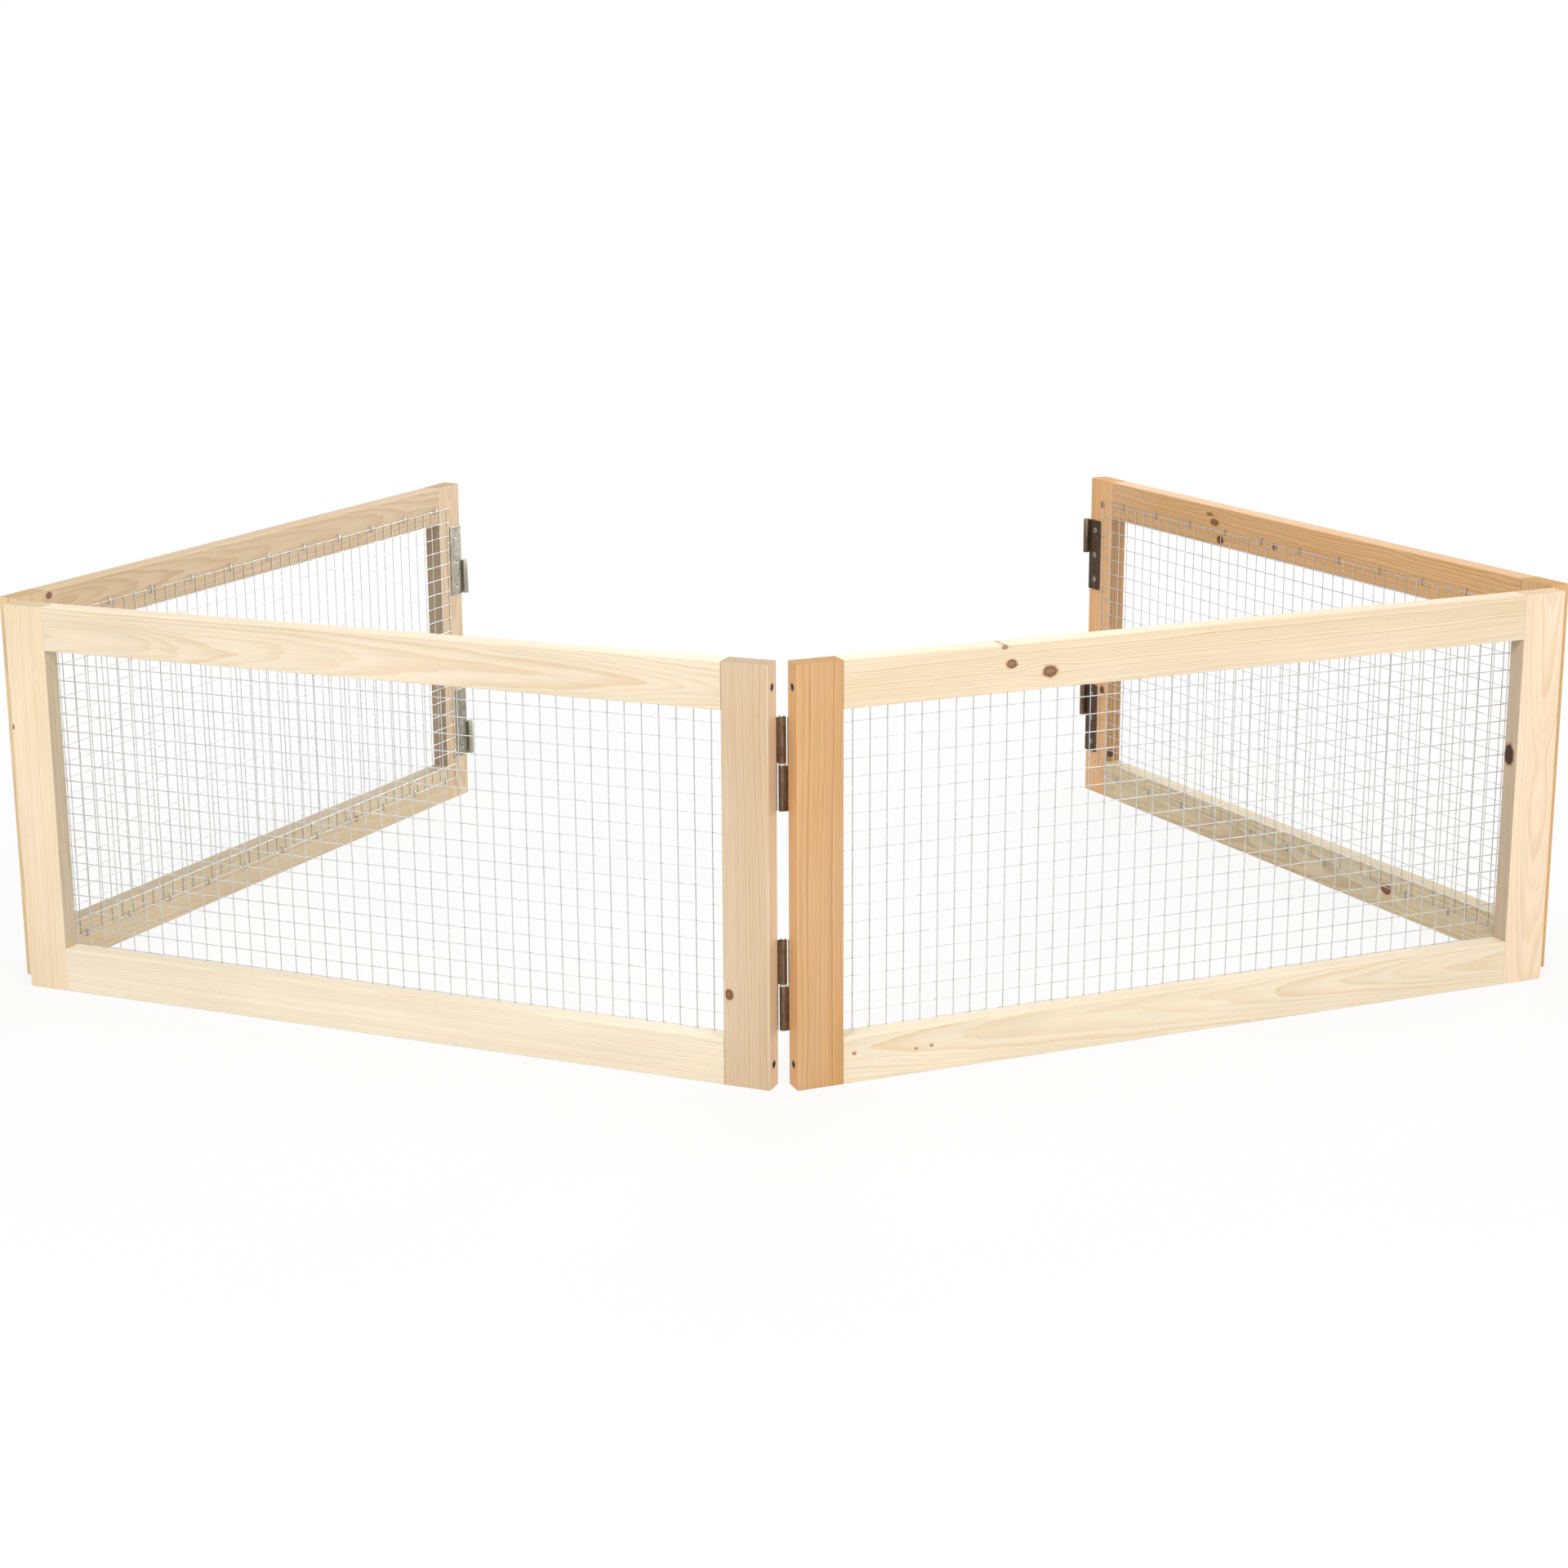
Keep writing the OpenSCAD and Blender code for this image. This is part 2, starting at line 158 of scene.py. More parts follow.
# The grain of each timber: tones of the early and the late wood, place of the pith across and deep, width
# of a year ring, lean and dive of the pith for each millimetre along, contrast of the rings, and knots as
# (along, across or deep, half length, half width, which of the two, darkness), all in millimetres
ACROSS, DEEP = 1, 2
GRAINS = {
    "front_left_left_stile": ("#EEDBBD", "#D7AD76", (-48, 20), 2.4, 0.010, 0.004, 0.42, (
        (82, -24, 3, 2, ACROSS, 1.0),)),
    "front_left_right_stile": ("#D2BB9D", "#BD9160", (38, -30), 2.8, -0.008, 0.004, 0.45, (
        (-122.8, -18.6, 6, 4.3, ACROSS, 1.1),)),
    "front_left_top_rail": ("#E6D6BC", "#D0A977", (-6, 44), 2.6, 0.012, 0.030, 0.38, ()),
    "front_left_bottom_rail": ("#EBDFC8", "#D4B07F", (52, 22), 2.6, -0.005, 0.010, 0.4, ()),
    "front_right_left_stile": ("#D2A877", "#AC703B", (-30, 16), 2.2, 0.012, 0.004, 0.5, ()),
    "front_right_right_stile": ("#F1DABD", "#D8AB77", (7, -40), 2.8, 0.006, 0.045, 0.36, (
        (40, 2.6, 11, 7.4, DEEP, 1.45),)),
    "front_right_top_rail": ("#E7D4B7", "#CEA570", (-34, 28), 2.6, 0.010, 0.004, 0.45, (
        (-224.4, 22.5, 3.4, 2.6, ACROSS, 0.7), (-216.7, 4.5, 6.2, 4.5, ACROSS, 1.0),
        (-173.4, -7.0, 8.0, 6.0, ACROSS, 1.0))),
    "front_right_bottom_rail": ("#EADCC1", "#D5AB79", (8, 46), 2.8, -0.010, -0.028, 0.38, (
        (-388.2, 6.7, 2.4, 1.8, ACROSS, 0.7), (-318.9, 2.1, 2.0, 1.6, ACROSS, 0.6),
        (-301.4, 3.2, 2.2, 1.6, ACROSS, 0.6))),
    "back_left_left_stile": ("#D8BF9D", "#B48C62", (-5, -38), 2.4, 0.010, 0.05, 0.6, ()),
    "back_left_right_stile": ("#DCC29C", "#B98D5B", (-36, -22), 2.4, -0.010, 0.004, 0.6, (
        (66, 4, 7, 5, ACROSS, 0.6),)),
    "back_left_top_rail": ("#CDB594", "#AE8656", (4, -46), 2.6, 0.010, 0.026, 0.5, (
        (394, 18, 5, 4, ACROSS, 1.1),)),
    "back_left_bottom_rail": ("#D9C7A6", "#B79367", (40, 30), 2.5, 0.007, 0.004, 0.5, (
        (-176, 5, 5, 4, ACROSS, 0.6),)),
    "back_right_left_stile": ("#D9B27E", "#AD7A42", (-42, 20), 2.5, 0.008, 0.004, 0.65, ()),
    "back_right_right_stile": ("#ECBB86", "#BC7F47", (40, -24), 2.3, 0.009, 0.004, 0.65, (
        (186.5, -2.5, 5, 4, ACROSS, 0.9), (-71.2, -12, 6, 5, ACROSS, 1.2), (-160, 4, 5, 5, DEEP, 1.2))),
    "back_right_top_rail": ("#D8AE7D", "#AC763E", (36, 28), 2.5, 0.008, 0.004, 0.6, (
        (167, 4, 9, 4.5, ACROSS, 1.0), (154, -17, 7, 5.5, ACROSS, 1.25),
        (178, 13, 7, 2.5, ACROSS, 0.8), (41, -9, 5, 4, ACROSS, 1.1))),
    "back_right_bottom_rail": ("#DFCEAC", "#B49463", (-4, -48), 2.7, -0.012, 0.024, 0.55, (
        (-200.6, 2.1, 9, 6, ACROSS, 1.1), (-396, -4.5, 4, 3.5, ACROSS, 1.2))),
}

# Patterns in pine: length along the grain and width across it in millimetres, detail and roughness
PATTERNS = {
    "waves": (230, 30, 2.0, 0.5),
    "ripples": (55, 9, 2.0, 0.5),
    "fibres": (70, 0.7, 3.0, 0.6),
    "streaks": (260, 5, 3.0, 0.5),
    "cloud": (210, 50, 1.0, 0.5),
    "ducts": (9, 0.45, 0.0, 0.5),
    "blotch": (34, 14, 4.0, 0.5),
}
# Length and width of the wobble of a knot's outline and of the worn arrises
WOBBLE_L, WOBBLE_W = 7, 4
# How much a pattern, or a place on a timber, adds to the wood's brightness, colour, roughness and height
# The narrow entry is painted shade on a stile's narrow side towards the opening, and painted light on its
# narrow side at the panel's end
BRIGHTER = {
    "fibres": 0.16, "streaks": 0.14, "cloud": 0.16, "blotch": 0.07,
    "edge": 0.05, "end": -0.22, "narrow": -0.33,
}
RICHER = {"cloud": -0.25, "end": 0.12}
ROUGHER = {"fibres": 0.16, "late": -0.07, "end": 0.22, "blotch": 0.12, "heart": -0.12, "narrow": 0.1}
HIGHER = {"fibres": 0.06, "saw": 0.0015, "rim": -0.09, "heart": 0.03}
PINE_ROUGHNESS = 0.42
PINE_GLOSS = 0.38
SAW_PITCH = 2.6
# How far the waves, the ripples and uneven years move the rings, and how uneven the years are
WAVE, RIPPLE = 9.0, 1.3
YEARS_MOVED, YEARS_SCALE = 2.2, 0.31
# Where in a year ring the late wood grows and stops, and its share in the palest year
LATE_GROWS = (0.22, 0.9)
LATE_STOPS = (0.92, 1.0)
PALEST_YEAR = 0.45
# Tones of the resin ducts and of a knot's parts, with their shares in the colour, the strengths between
# which they come up, and how much closer than the year rings those of a knot's heart lie
DUCT_TONE, DUCT_SHARE = "#9C6B3B", 0.45
DUCT_SHOWS, DUCT_LATE = (0.74, 0.82), (0.1, 0.5)
WARM_SHOWS, DEAD_SHOWS = (0.0, 0.3), (1.0, 1.45)
WARM_TONE, WARM_SHARE, WARM_RIM_SHARE = "#C08650", 0.4, 0.55
HEART_TONES, HEART_SHARE, HEART_RINGS = ("#8C5F38", "#6A4426"), 0.86, 1.7
DEAD_TONE, DEAD_SHARE = "#2B1C10", 0.85
RIM_TONE, RIM_SHARE = "#4A2A16", 0.8
# How far out the parts of a knot lie, as shares of its half width, and how it bends the rings
KNOT_WOBBLE = 0.55
HEART_STOPS = (0.78, 1.05)
RIM_STARTS = (0.55, 0.95)
RIM_STOPS = (1.0, 1.45)
BEND_FALL = -0.11
BEND_TURN = 1.2
BEND_PUSH = 0.75
# How near to a stile's narrow side a point counts as on it, in millimetres, the end side's share of the
# painted shade that the opening side has, whose minus sign makes it painted light there, and how upright
# a face is where end grain starts and is full
SIDE_SKIN = 0.1
END_SIDE = -0.4
END_FACES = (0.8, 0.95)


def turned(degrees, axis):
    """Turns a piece about one axis"""
    return Matrix.Rotation(math.radians(degrees), 4, axis)


def place_panel(panel):
    """Turns and moves a panel's own frame to where that panel stands"""
    at_right_axis = panel in ("back_left", "front_left")
    anchor = AXES[{"back_left": "left_corner", "back_right": "right_corner"}.get(panel, "front")]
    anchor_x = PANEL_W + HINGE_GAP / 2 if at_right_axis else -HINGE_GAP / 2
    return (
        Matrix.Translation(anchor)
        @ Matrix.Rotation(HEADINGS[panel], 4, "Z")
        @ Matrix.Translation((-anchor_x, -AXIS_Y, 0))
    )


def panel_ends(panel):
    """Each end of a panel, with the matrix that brings a piece of a left end there"""
    place = place_panel(panel)
    mirror = Matrix.Translation((PANEL_W, 0, 0)) @ Matrix.Scale(-1, 4, (1, 0, 0))
    return ("left", place), ("right", place @ mirror)


def on_mesh(col, row, y):
    """Moves a piece to a place on a panel's mesh that is counted in wires along and up"""
    return Matrix.Translation((MESH_LEFT + col * MESH_PITCH, y, MESH_BOTTOM + row * MESH_PITCH))


def on_axis(connection, z):
    """Moves a piece to a height on the axis of a connection"""
    return Matrix.Translation(AXES[connection] + Vector((0, 0, z)))


def toned(colour, share):
    """A colour made darker or brighter"""
    return [part * share for part in colour]


def linear(hex_tone):
    """Turns a web colour into the linear colour that shaders take"""
    parts = [int(hex_tone[i:i + 2], 16) / 255 for i in (1, 3, 5)]
    return [p / 12.92 if p <= 0.04045 else ((p + 0.055) / 1.055) ** 2.4 for p in parts]


# Helpers for shader nodes
class Shader:
    """Adds and joins the nodes of one shader tree"""

    # Places of the colour sockets on a Mix node, where they share their labels with others
    FACTOR, FIRST, SECOND, RESULT = 0, 6, 7, 2

    def __init__(self, tree):
        self.tree = tree
        self.tree.nodes.clear()

    def feed(self, socket, value):
        """Links a node or socket, or sets a number, a vector or a colour"""
        if isinstance(value, bpy.types.Node):
            value = value.outputs[0]
        if isinstance(value, bpy.types.NodeSocket):
            self.tree.links.new(value, socket)
        elif socket.type == "RGBA":
            socket.default_value = (*value, 1.0)
        else:
            socket.default_value = value

    def add(self, kind, inputs=None, **settings):
        """Adds a node with these settings and inputs"""
        made = self.tree.nodes.new(kind)
        for key, value in settings.items():
            setattr(made, key, value)
        for key, value in (inputs or {}).items():
            self.feed(made.inputs[key], value)
        return made

    def maths(self, operation, first, second=0.0, third=0.0, clamp=False):
        """One sum on numbers"""
        inputs = {0: first, 1: second, 2: third}
        return self.add("ShaderNodeMath", inputs, operation=operation, use_clamp=clamp).outputs[0]

    def times(self, product, *others):
        """Multiplies two or more numbers"""
        for other in others:
            product = self.maths("MULTIPLY", product, other)
        return product

    def total(self, *terms, base=0.0, clamp=False):
        """Adds (value, weight) pairs to a base"""
        for index, (value, weight) in enumerate(terms, 1):
            base = self.maths("MULTIPLY_ADD", value, weight, base, clamp and index == len(terms))
        return base

    def length(self, first, second):
        """The length of the long side over two sides at a right angle"""
        return self.maths("SQRT", self.maths("ADD", self.times(first, first), self.times(second, second)))

    def ease(self, value, low, high, start=0.0, end=1.0):
        """Eases from start to end as a value goes from low to high"""
        inputs = {"Value": value, "From Min": low, "From Max": high, "To Min": start, "To Max": end}
        return self.add("ShaderNodeMapRange", inputs, interpolation_type="SMOOTHSTEP").outputs[0]

    def mix(self, factor, first, second):
        """Mixes two colours"""
        inputs = {self.FACTOR: factor, self.FIRST: first, self.SECOND: second}
        return self.add("ShaderNodeMix", inputs, data_type="RGBA").outputs[self.RESULT]

    def stretch(self, vector, scale, shift=(0, 0, 0)):
        """Scales a vector on each axis, then shifts it"""
        inputs = {0: vector, 1: scale, 2: shift}
        return self.add("ShaderNodeVectorMath", inputs, operation="MULTIPLY_ADD").outputs[0]

    def noise(self, vector, scale=1.0, detail=2.0, roughness=0.5, distortion=0.0):
        """Noise about 0.5"""
        inputs = {"Vector": vector, "Scale": scale, "Detail": detail, "Roughness": roughness}
        inputs["Distortion"] = distortion
        return self.add("ShaderNodeTexNoise", inputs, noise_dimensions="3D").outputs[0]

    def bump(self, height, distance, strength=1.0):
        """Turns a height into a normal"""
        inputs = {"Height": height, "Distance": distance, "Strength": strength}
        return self.add("ShaderNodeBump", inputs).outputs[0]

    def finish(self, inputs, kind="ShaderNodeBsdfPrincipled"):
        """Adds a surface with these inputs and joins it to the material's output"""
        self.add("ShaderNodeOutputMaterial", {"Surface": self.add(kind, inputs)})


def new_material(name):
    """A new material with an empty shader tree"""
    material = bpy.data.materials.new(name)
    material.use_nodes = True
    return material, Shader(material.node_tree)


def new_group(name, inputs, outputs):
    """A new node group with these sockets, which are numbers apart from a few"""
    group = bpy.data.node_groups.new(name, "ShaderNodeTree")
    others = {"Point": "NodeSocketVector"}
    others.update(dict.fromkeys(("Early", "Late", "Colour"), "NodeSocketColor"))
    for way, labels in (("INPUT", inputs), ("OUTPUT", outputs)):
        for label in labels:
            kind = others.get(label, "NodeSocketFloat")
            group.interface.new_socket(label, in_out=way, socket_type=kind)
    shader = Shader(group)
    return group, shader, shader.add("NodeGroupInput").outputs


def knot_group():
    """One knot: adds its heart, its rim and the bend of the rings round it to what comes in"""
    passed_on = ("Heart", "Rim", "Bend")
    inputs = ("Along", "Across", "Half length", "Half width", "Push", "Darkness", "Wobble") + passed_on
    group, shader, given = new_group("knot", inputs, passed_on)
    along = shader.maths("DIVIDE", given["Along"], given["Half length"])
    across = shader.maths("DIVIDE", given["Across"], given["Half width"])
    even = shader.length(along, across)
    far = shader.total((given["Wobble"], KNOT_WOBBLE), base=even)
    dark = given["Darkness"]
    heart = shader.times(shader.ease(far, *HEART_STOPS, 1.0, 0.0), dark)
    rim = shader.times(shader.ease(far, *RIM_STOPS, 1.0, 0.0), shader.ease(far, *RIM_STARTS), dark)
    reach = shader.maths("EXPONENT", shader.times(even, even, BEND_FALL))
    side = shader.maths("TANH", shader.times(across, BEND_TURN))
    out = {
        "Heart": shader.maths("MAXIMUM", heart, given["Heart"]),
        "Rim": shader.maths("MAXIMUM", rim, given["Rim"]),
        "Bend": shader.total((shader.times(side, reach), given["Push"]), base=given["Bend"]),
    }
    shader.add("NodeGroupOutput", out)
    return group


def pine_group():
    """Planed pine: year rings round the pith, fibres, resin ducts, knots, end grain and soft arrises,
    with painted shade and painted light on the narrow sides of the stiles
    """
    inputs = (
        "Point", "Heart", "Rim", "Bend", "End", "Edge", "Narrow", "Early", "Late", "Pith across", "Pith deep",
        "Lean", "Dive", "Ring", "Contrast", "Seed",
    )
    group, shader, given = new_group("pine", inputs, ("Colour", "Roughness", "Height"))
    seed = given["Seed"]
    shift = shader.add("ShaderNodeCombineXYZ", {0: seed, 1: seed, 2: seed})
    parts = {name.lower(): given[name] for name in ("Heart", "Rim", "End", "Edge", "Narrow")}
    for name, (length, width, detail, roughness) in PATTERNS.items():
        point = shader.stretch(given["Point"], (1 / length, 1 / width, 1 / width), shift)
        parts[name] = shader.noise(point, 1.0, detail, roughness)

    # Distance from the pith, with the log's own waves, and the year ring that lies there
    along, across, deep = shader.add("ShaderNodeSeparateXYZ", {0: given["Point"]}).outputs
    across = shader.maths("SUBTRACT", across, given["Pith across"])
    across = shader.maths("SUBTRACT", across, shader.times(along, given["Lean"]))
    deep = shader.maths("SUBTRACT", deep, given["Pith deep"])
    deep = shader.maths("SUBTRACT", deep, shader.times(along, given["Dive"]))
    moves = ((parts["waves"], WAVE), (parts["ripples"], RIPPLE), (given["Bend"], 1.0))
    far = shader.total(*moves, base=shader.length(across, deep))
    rings = shader.maths("DIVIDE", far, given["Ring"])
    years = {"W": rings, "Scale": YEARS_SCALE, "Detail": 1.0}
    uneven = shader.add("ShaderNodeTexNoise", years, noise_dimensions="1D")
    rings = shader.total((uneven, YEARS_MOVED), (seed, 1.0), base=rings)
    phase = shader.maths("FRACT", rings)
    year = shader.add("ShaderNodeTexWhiteNoise", {"W": shader.maths("FLOOR", rings)}, noise_dimensions="1D")
    late = shader.times(
        shader.ease(phase, *LATE_GROWS), shader.ease(phase, *LATE_STOPS, 1.0, 0.0),
        shader.ease(year, 0.0, 1.0, PALEST_YEAR, 1.0))
    parts["late"] = late

    # Colour of the rings, the resin ducts and the knots
    heart, rim = given["Heart"], given["Rim"]
    colour = shader.mix(shader.times(late, given["Contrast"]), given["Early"], given["Late"])
    ducts = shader.times(shader.ease(parts["ducts"], *DUCT_SHOWS), shader.ease(late, *DUCT_LATE), DUCT_SHARE)
    colour = shader.mix(ducts, colour, linear(DUCT_TONE))
    warm = shader.times(shader.ease(heart, *WARM_SHOWS), WARM_SHARE)
    warm = shader.maths("MAXIMUM", warm, shader.times(rim, WARM_RIM_SHARE))
    colour = shader.mix(warm, colour, linear(WARM_TONE))
    heart_rings = shader.maths("FRACT", shader.times(rings, HEART_RINGS))
    heart_tone = shader.mix(heart_rings, *[linear(tone) for tone in HEART_TONES])
    dead = shader.ease(heart, *DEAD_SHOWS, 0.0, DEAD_SHARE)
    heart_tone = shader.mix(dead, heart_tone, linear(DEAD_TONE))
    colour = shader.mix(shader.maths("MULTIPLY", heart, HEART_SHARE, clamp=True), colour, heart_tone)
    colour = shader.mix(shader.times(rim, heart, RIM_SHARE), colour, linear(RIM_TONE))

    # The patterns lie about 0.5, so half of their weights comes off the base
    parts["saw"] = shader.maths("SINE", shader.times(along, 2 * math.pi / SAW_PITCH))
    bright, rich, rough, height = (
        [(parts[name], weight) for name, weight in table.items()]
        for table in (BRIGHTER, RICHER, ROUGHER, HIGHER)
    )
    bright_base = 1 - sum(weight for name, weight in BRIGHTER.items() if name in PATTERNS) / 2
    tuned = {
        "Color": colour, "Value": shader.total(*bright, base=bright_base),
        "Saturation": shader.total(*rich, base=1 - RICHER["cloud"] / 2),
    }
    out = {
        "Colour": shader.add("ShaderNodeHueSaturation", tuned),
        "Roughness": shader.total(*rough, base=PINE_ROUGHNESS, clamp=True),
        "Height": shader.total(*height),
    }
    shader.add("NodeGroupOutput", out)
    return group


def pine(node, look, groups, seed):
    """The pine of one timber, with its own pith, rings, tone and knots"""
    early, late, pith, ring, lean, dive, contrast, knots = GRAINS[node]
    panel, side, kind = node.rsplit("_", 2)
    upright = kind == "stile"
    half = (STILE_W if upright else RAIL_H) / 2
    if upright:
        middle = (half if side == "left" else PANEL_W - half, TIMBER_T / 2, PANEL_H / 2)
        axes = Matrix(((0, 1, 0), (0, 0, 1), (1, 0, 0)))
    else:
        middle = (PANEL_W / 2, TIMBER_T / 2, PANEL_H - half if side == "top" else half)
        axes = Matrix(((1, 0, 0), (0, 0, -1), (0, 1, 0)))
    place = place_panel(panel)
    material, shader = new_material(f"pine_{node}")
    coordinates = shader.add("ShaderNodeTexCoord").outputs
    inputs = {
        "Vector": coordinates["Object"], "Location": place @ Vector(middle),
        "Rotation": (place.to_3x3() @ axes).to_euler("XYZ"), "Scale": (MM, MM, MM),
    }
    point = shader.add("ShaderNodeMapping", inputs, vector_type="TEXTURE").outputs[0]
    apart = shader.add("ShaderNodeSeparateXYZ", {0: point}).outputs

    wobble = shader.noise(shader.stretch(point, (1 / WOBBLE_L, 1 / WOBBLE_W, 1 / WOBBLE_W)))
    wobble = shader.maths("SUBTRACT", wobble, 0.5)
    heart, rim, bend = 0.0, 0.0, 0.0
    for along, across, half_length, half_width, axis, darkness in knots:
        inputs = {
            "Along": shader.maths("SUBTRACT", apart[0], along),
            "Across": shader.maths("SUBTRACT", apart[axis], across),
            "Half length": half_length, "Half width": half_width, "Darkness": darkness, "Wobble": wobble,
            "Push": -math.copysign(half_width * BEND_PUSH, across - pith[axis - 1]),
            "Heart": heart, "Rim": rim, "Bend": bend,
        }
        heart, rim, bend = shader.add("ShaderNodeGroup", inputs, node_tree=groups["knot"]).outputs

    # Soft wear along the four arrises
    half_across, half_deep, arris = half / MM, TIMBER_T / 2 / MM, ARRIS / MM
    from_side = shader.maths("SUBTRACT", half_across, shader.maths("ABSOLUTE", apart[ACROSS]))
    from_face = shader.maths("SUBTRACT", half_deep, shader.maths("ABSOLUTE", apart[DEEP]))
    from_arris = shader.maths("MAXIMUM", from_side, from_face)
    from_arris = shader.total((wobble, look.arris_wear_mm), base=from_arris)
    edge = shader.ease(from_arris, arris, arris + look.arris_wear_mm, 1.0, 0.0)

    # A stile has end grain on its sawn ends, and its narrow side gets painted shade towards the opening
    # and painted light at the panel's end
    end, narrow = 0.0, 0.0
    if upright:
        facing = shader.add("ShaderNodeSeparateXYZ", {0: coordinates["Normal"]}).outputs[2]
        end = shader.ease(shader.maths("ABSOLUTE", facing), *END_FACES)
        inward = shader.times(apart[ACROSS], 1.0 if side == "left" else -1.0)
        opening_side = shader.ease(inward, half_across - arris, half_across - SIDE_SKIN)
        end_side = shader.ease(inward, SIDE_SKIN - half_across, arris - half_across, 1.0, 0.0)
        narrow = shader.total((end_side, END_SIDE), base=opening_side)

    inputs = {
        "Point": point, "Heart": heart, "Rim": rim, "Bend": bend, "End": end, "Edge": edge, "Narrow": narrow,
        "Early": linear(early), "Late": linear(late), "Pith across": pith[0], "Pith deep": pith[1],
        "Lean": lean, "Dive": dive, "Ring": ring * look.ring_scale, "Contrast": contrast * look.contrast,
        "Seed": seed,
    }
    colour, roughness, height = shader.add("ShaderNodeGroup", inputs, node_tree=groups["pine"]).outputs
    shader.finish({
        "Base Color": colour, "Roughness": roughness, "Specular IOR Level": PINE_GLOSS,
        "Normal": shader.bump(height, MM, look.relief),
    })
    return material


def zinc(name, tone, dull, rough=0.42, cell=0.0025):
    """Zinc coat: small spangles, dull patches and fine grit"""
    material, shader = new_material(name)
    place = shader.add("ShaderNodeTexCoord").outputs["Object"]
    spangle = shader.add("ShaderNodeTexVoronoi", {"Vector": place, "Scale": 1 / cell, "Randomness": 1.0})
    cells = shader.add("ShaderNodeSeparateColor", {0: spangle.outputs["Color"]}).outputs[0]
    patches = shader.noise(place, scale=60.0, detail=4.0, roughness=0.6)
    grit = shader.noise(place, scale=1900.0)
    shade = shader.total((cells, 0.35), (patches, 1.1), (grit, 0.25))
    roughness = shader.total((cells, 0.12), (patches, 0.22), (grit, 0.06), base=rough - 0.2, clamp=True)
    height = shader.total((cells, 0.4), (patches, 1.0), (grit, 0.5))
    shader.finish({
        "Base Color": shader.mix(shader.ease(shade, 0.45, 1.15), tone, dull), "Metallic": 0.85,
        "Roughness": roughness, "Normal": shader.bump(height, 0.00003),
    })
    return material


def hinge_steel(name, plate, rubbed):
    """Aged zinc plate on rolled steel: smudges, stains, rub marks and edges rubbed bright"""
    material, shader = new_material(name)
    place = shader.add("ShaderNodeTexCoord").outputs["Object"]
    smudges = shader.noise(place, scale=85.0, detail=5.0, roughness=0.62, distortion=0.4)
    stains = shader.noise(shader.stretch(place, (1.0, 1.0, 0.35)), scale=210.0, detail=4.0, roughness=0.6)
    grit = shader.noise(place, scale=2400.0)
    rubs = shader.noise(shader.stretch(place, (1.0, 1.0, 0.05)), scale=900.0, detail=3.0, roughness=0.6)
    edge = shader.add("ShaderNodeAttribute", attribute_name="edge_wear").outputs["Fac"]
    edge = shader.times(edge, shader.ease(stains, 0.3, 0.6, 0.35, 1.0))
    colour = shader.mix(shader.ease(smudges, 0.4, 0.68), plate, toned(plate, 0.62))
    colour = shader.mix(shader.ease(stains, 0.56, 0.74, 0.0, 0.4), colour, linear("#5A4330"))
    colour = shader.mix(shader.times(edge, 0.75), colour, rubbed)
    colour = shader.mix(shader.ease(rubs, 0.58, 0.72, 0.0, 0.2), colour, rubbed)
    terms = (smudges, 0.35), (grit, 0.12), (edge, -0.12), (rubs, -0.1)
    height = shader.total((smudges, 0.8), (grit, 0.9), (rubs, 0.7))
    shader.finish({
        "Base Color": colour, "Metallic": 0.7, "Roughness": shader.total(*terms, base=0.22, clamp=True),
        "Normal": shader.bump(height, 0.00004),
    })
    return material


def nylon(look):
    """Natural nylon: off-white, waxy, with a little scuffing"""
    material, shader = new_material("washer_nylon")
    place = shader.add("ShaderNodeTexCoord").outputs["Object"]
    scuffs = shader.noise(place, scale=700.0, detail=4.0, roughness=0.65)
    cloud = shader.noise(place, scale=120.0)
    colour = shader.mix(shader.ease(cloud, 0.35, 0.7), look.nylon_colour, linear("#D9D3C2"))
    colour = shader.mix(shader.ease(scuffs, 0.58, 0.72, 0.0, 0.4), colour, linear("#A79F8C"))
    shader.finish({
        "Base Color": colour, "Roughness": shader.ease(scuffs, 0.3, 0.7, 0.34, 0.62),
        "Subsurface Weight": 0.15, "Subsurface Scale": 0.0008, "Normal": shader.bump(scuffs, 0.00003),
    })
    return material


# Helpers for meshes
def give(node_or_piece, material):
    """Puts one material on an object"""
    node_or_piece.data.materials.clear()
    node_or_piece.data.materials.append(material)


def add_object(name, data):
    """Puts new data into the scene as an object"""
    made = bpy.data.objects.new(name, data)
    bpy.context.scene.collection.objects.link(made)
    return made


def to_mesh(shape, name, smooth_angle=35):
    """Makes a mesh from a finished bmesh, smooth where its faces meet gently"""
    mesh = bpy.data.meshes.new(name)
    shape.to_mesh(mesh)
    shape.free()
    mesh.set_sharp_from_angle(angle=math.radians(smooth_angle))
    return mesh


def only(kind, geom):
    """The points, edges or faces among what an operator made"""
    return [part for part in geom if isinstance(part, kind)]


def edges_of(verts):
    """All edges at these points"""
    return list({edge for vert in verts for edge in vert.link_edges})


def swept(shape, geom, centre, axis, angle, steps, merge=False):
    """Turns parts about an axis, with faces along the way, and returns them where they end"""
    return bmesh.ops.spin(
        shape, geom=geom, cent=centre, axis=axis, dvec=(0, 0, 0), angle=angle, steps=steps,
        use_merge=merge, use_duplicate=False)["geom_last"]


def sewn(shape):
    """Joins points at the same place, and turns all faces outwards"""
    bmesh.ops.remove_doubles(shape, verts=shape.verts, dist=SAME_PLACE)
    bmesh.ops.recalc_face_normals(shape, faces=shape.faces)
    return shape


def drawn(shape, edges, vec, width=1.0):
    """Draws edges out along a vector to another width, and returns the new points and edges"""
    made = bmesh.ops.extrude_edge_only(shape, edges=edges)["geom"]
    verts = only(bmesh.types.BMVert, made)
    bmesh.ops.scale(shape, vec=(width, width, 1), verts=verts)
    bmesh.ops.translate(shape, vec=vec, verts=verts)
    return verts, only(bmesh.types.BMEdge, made)


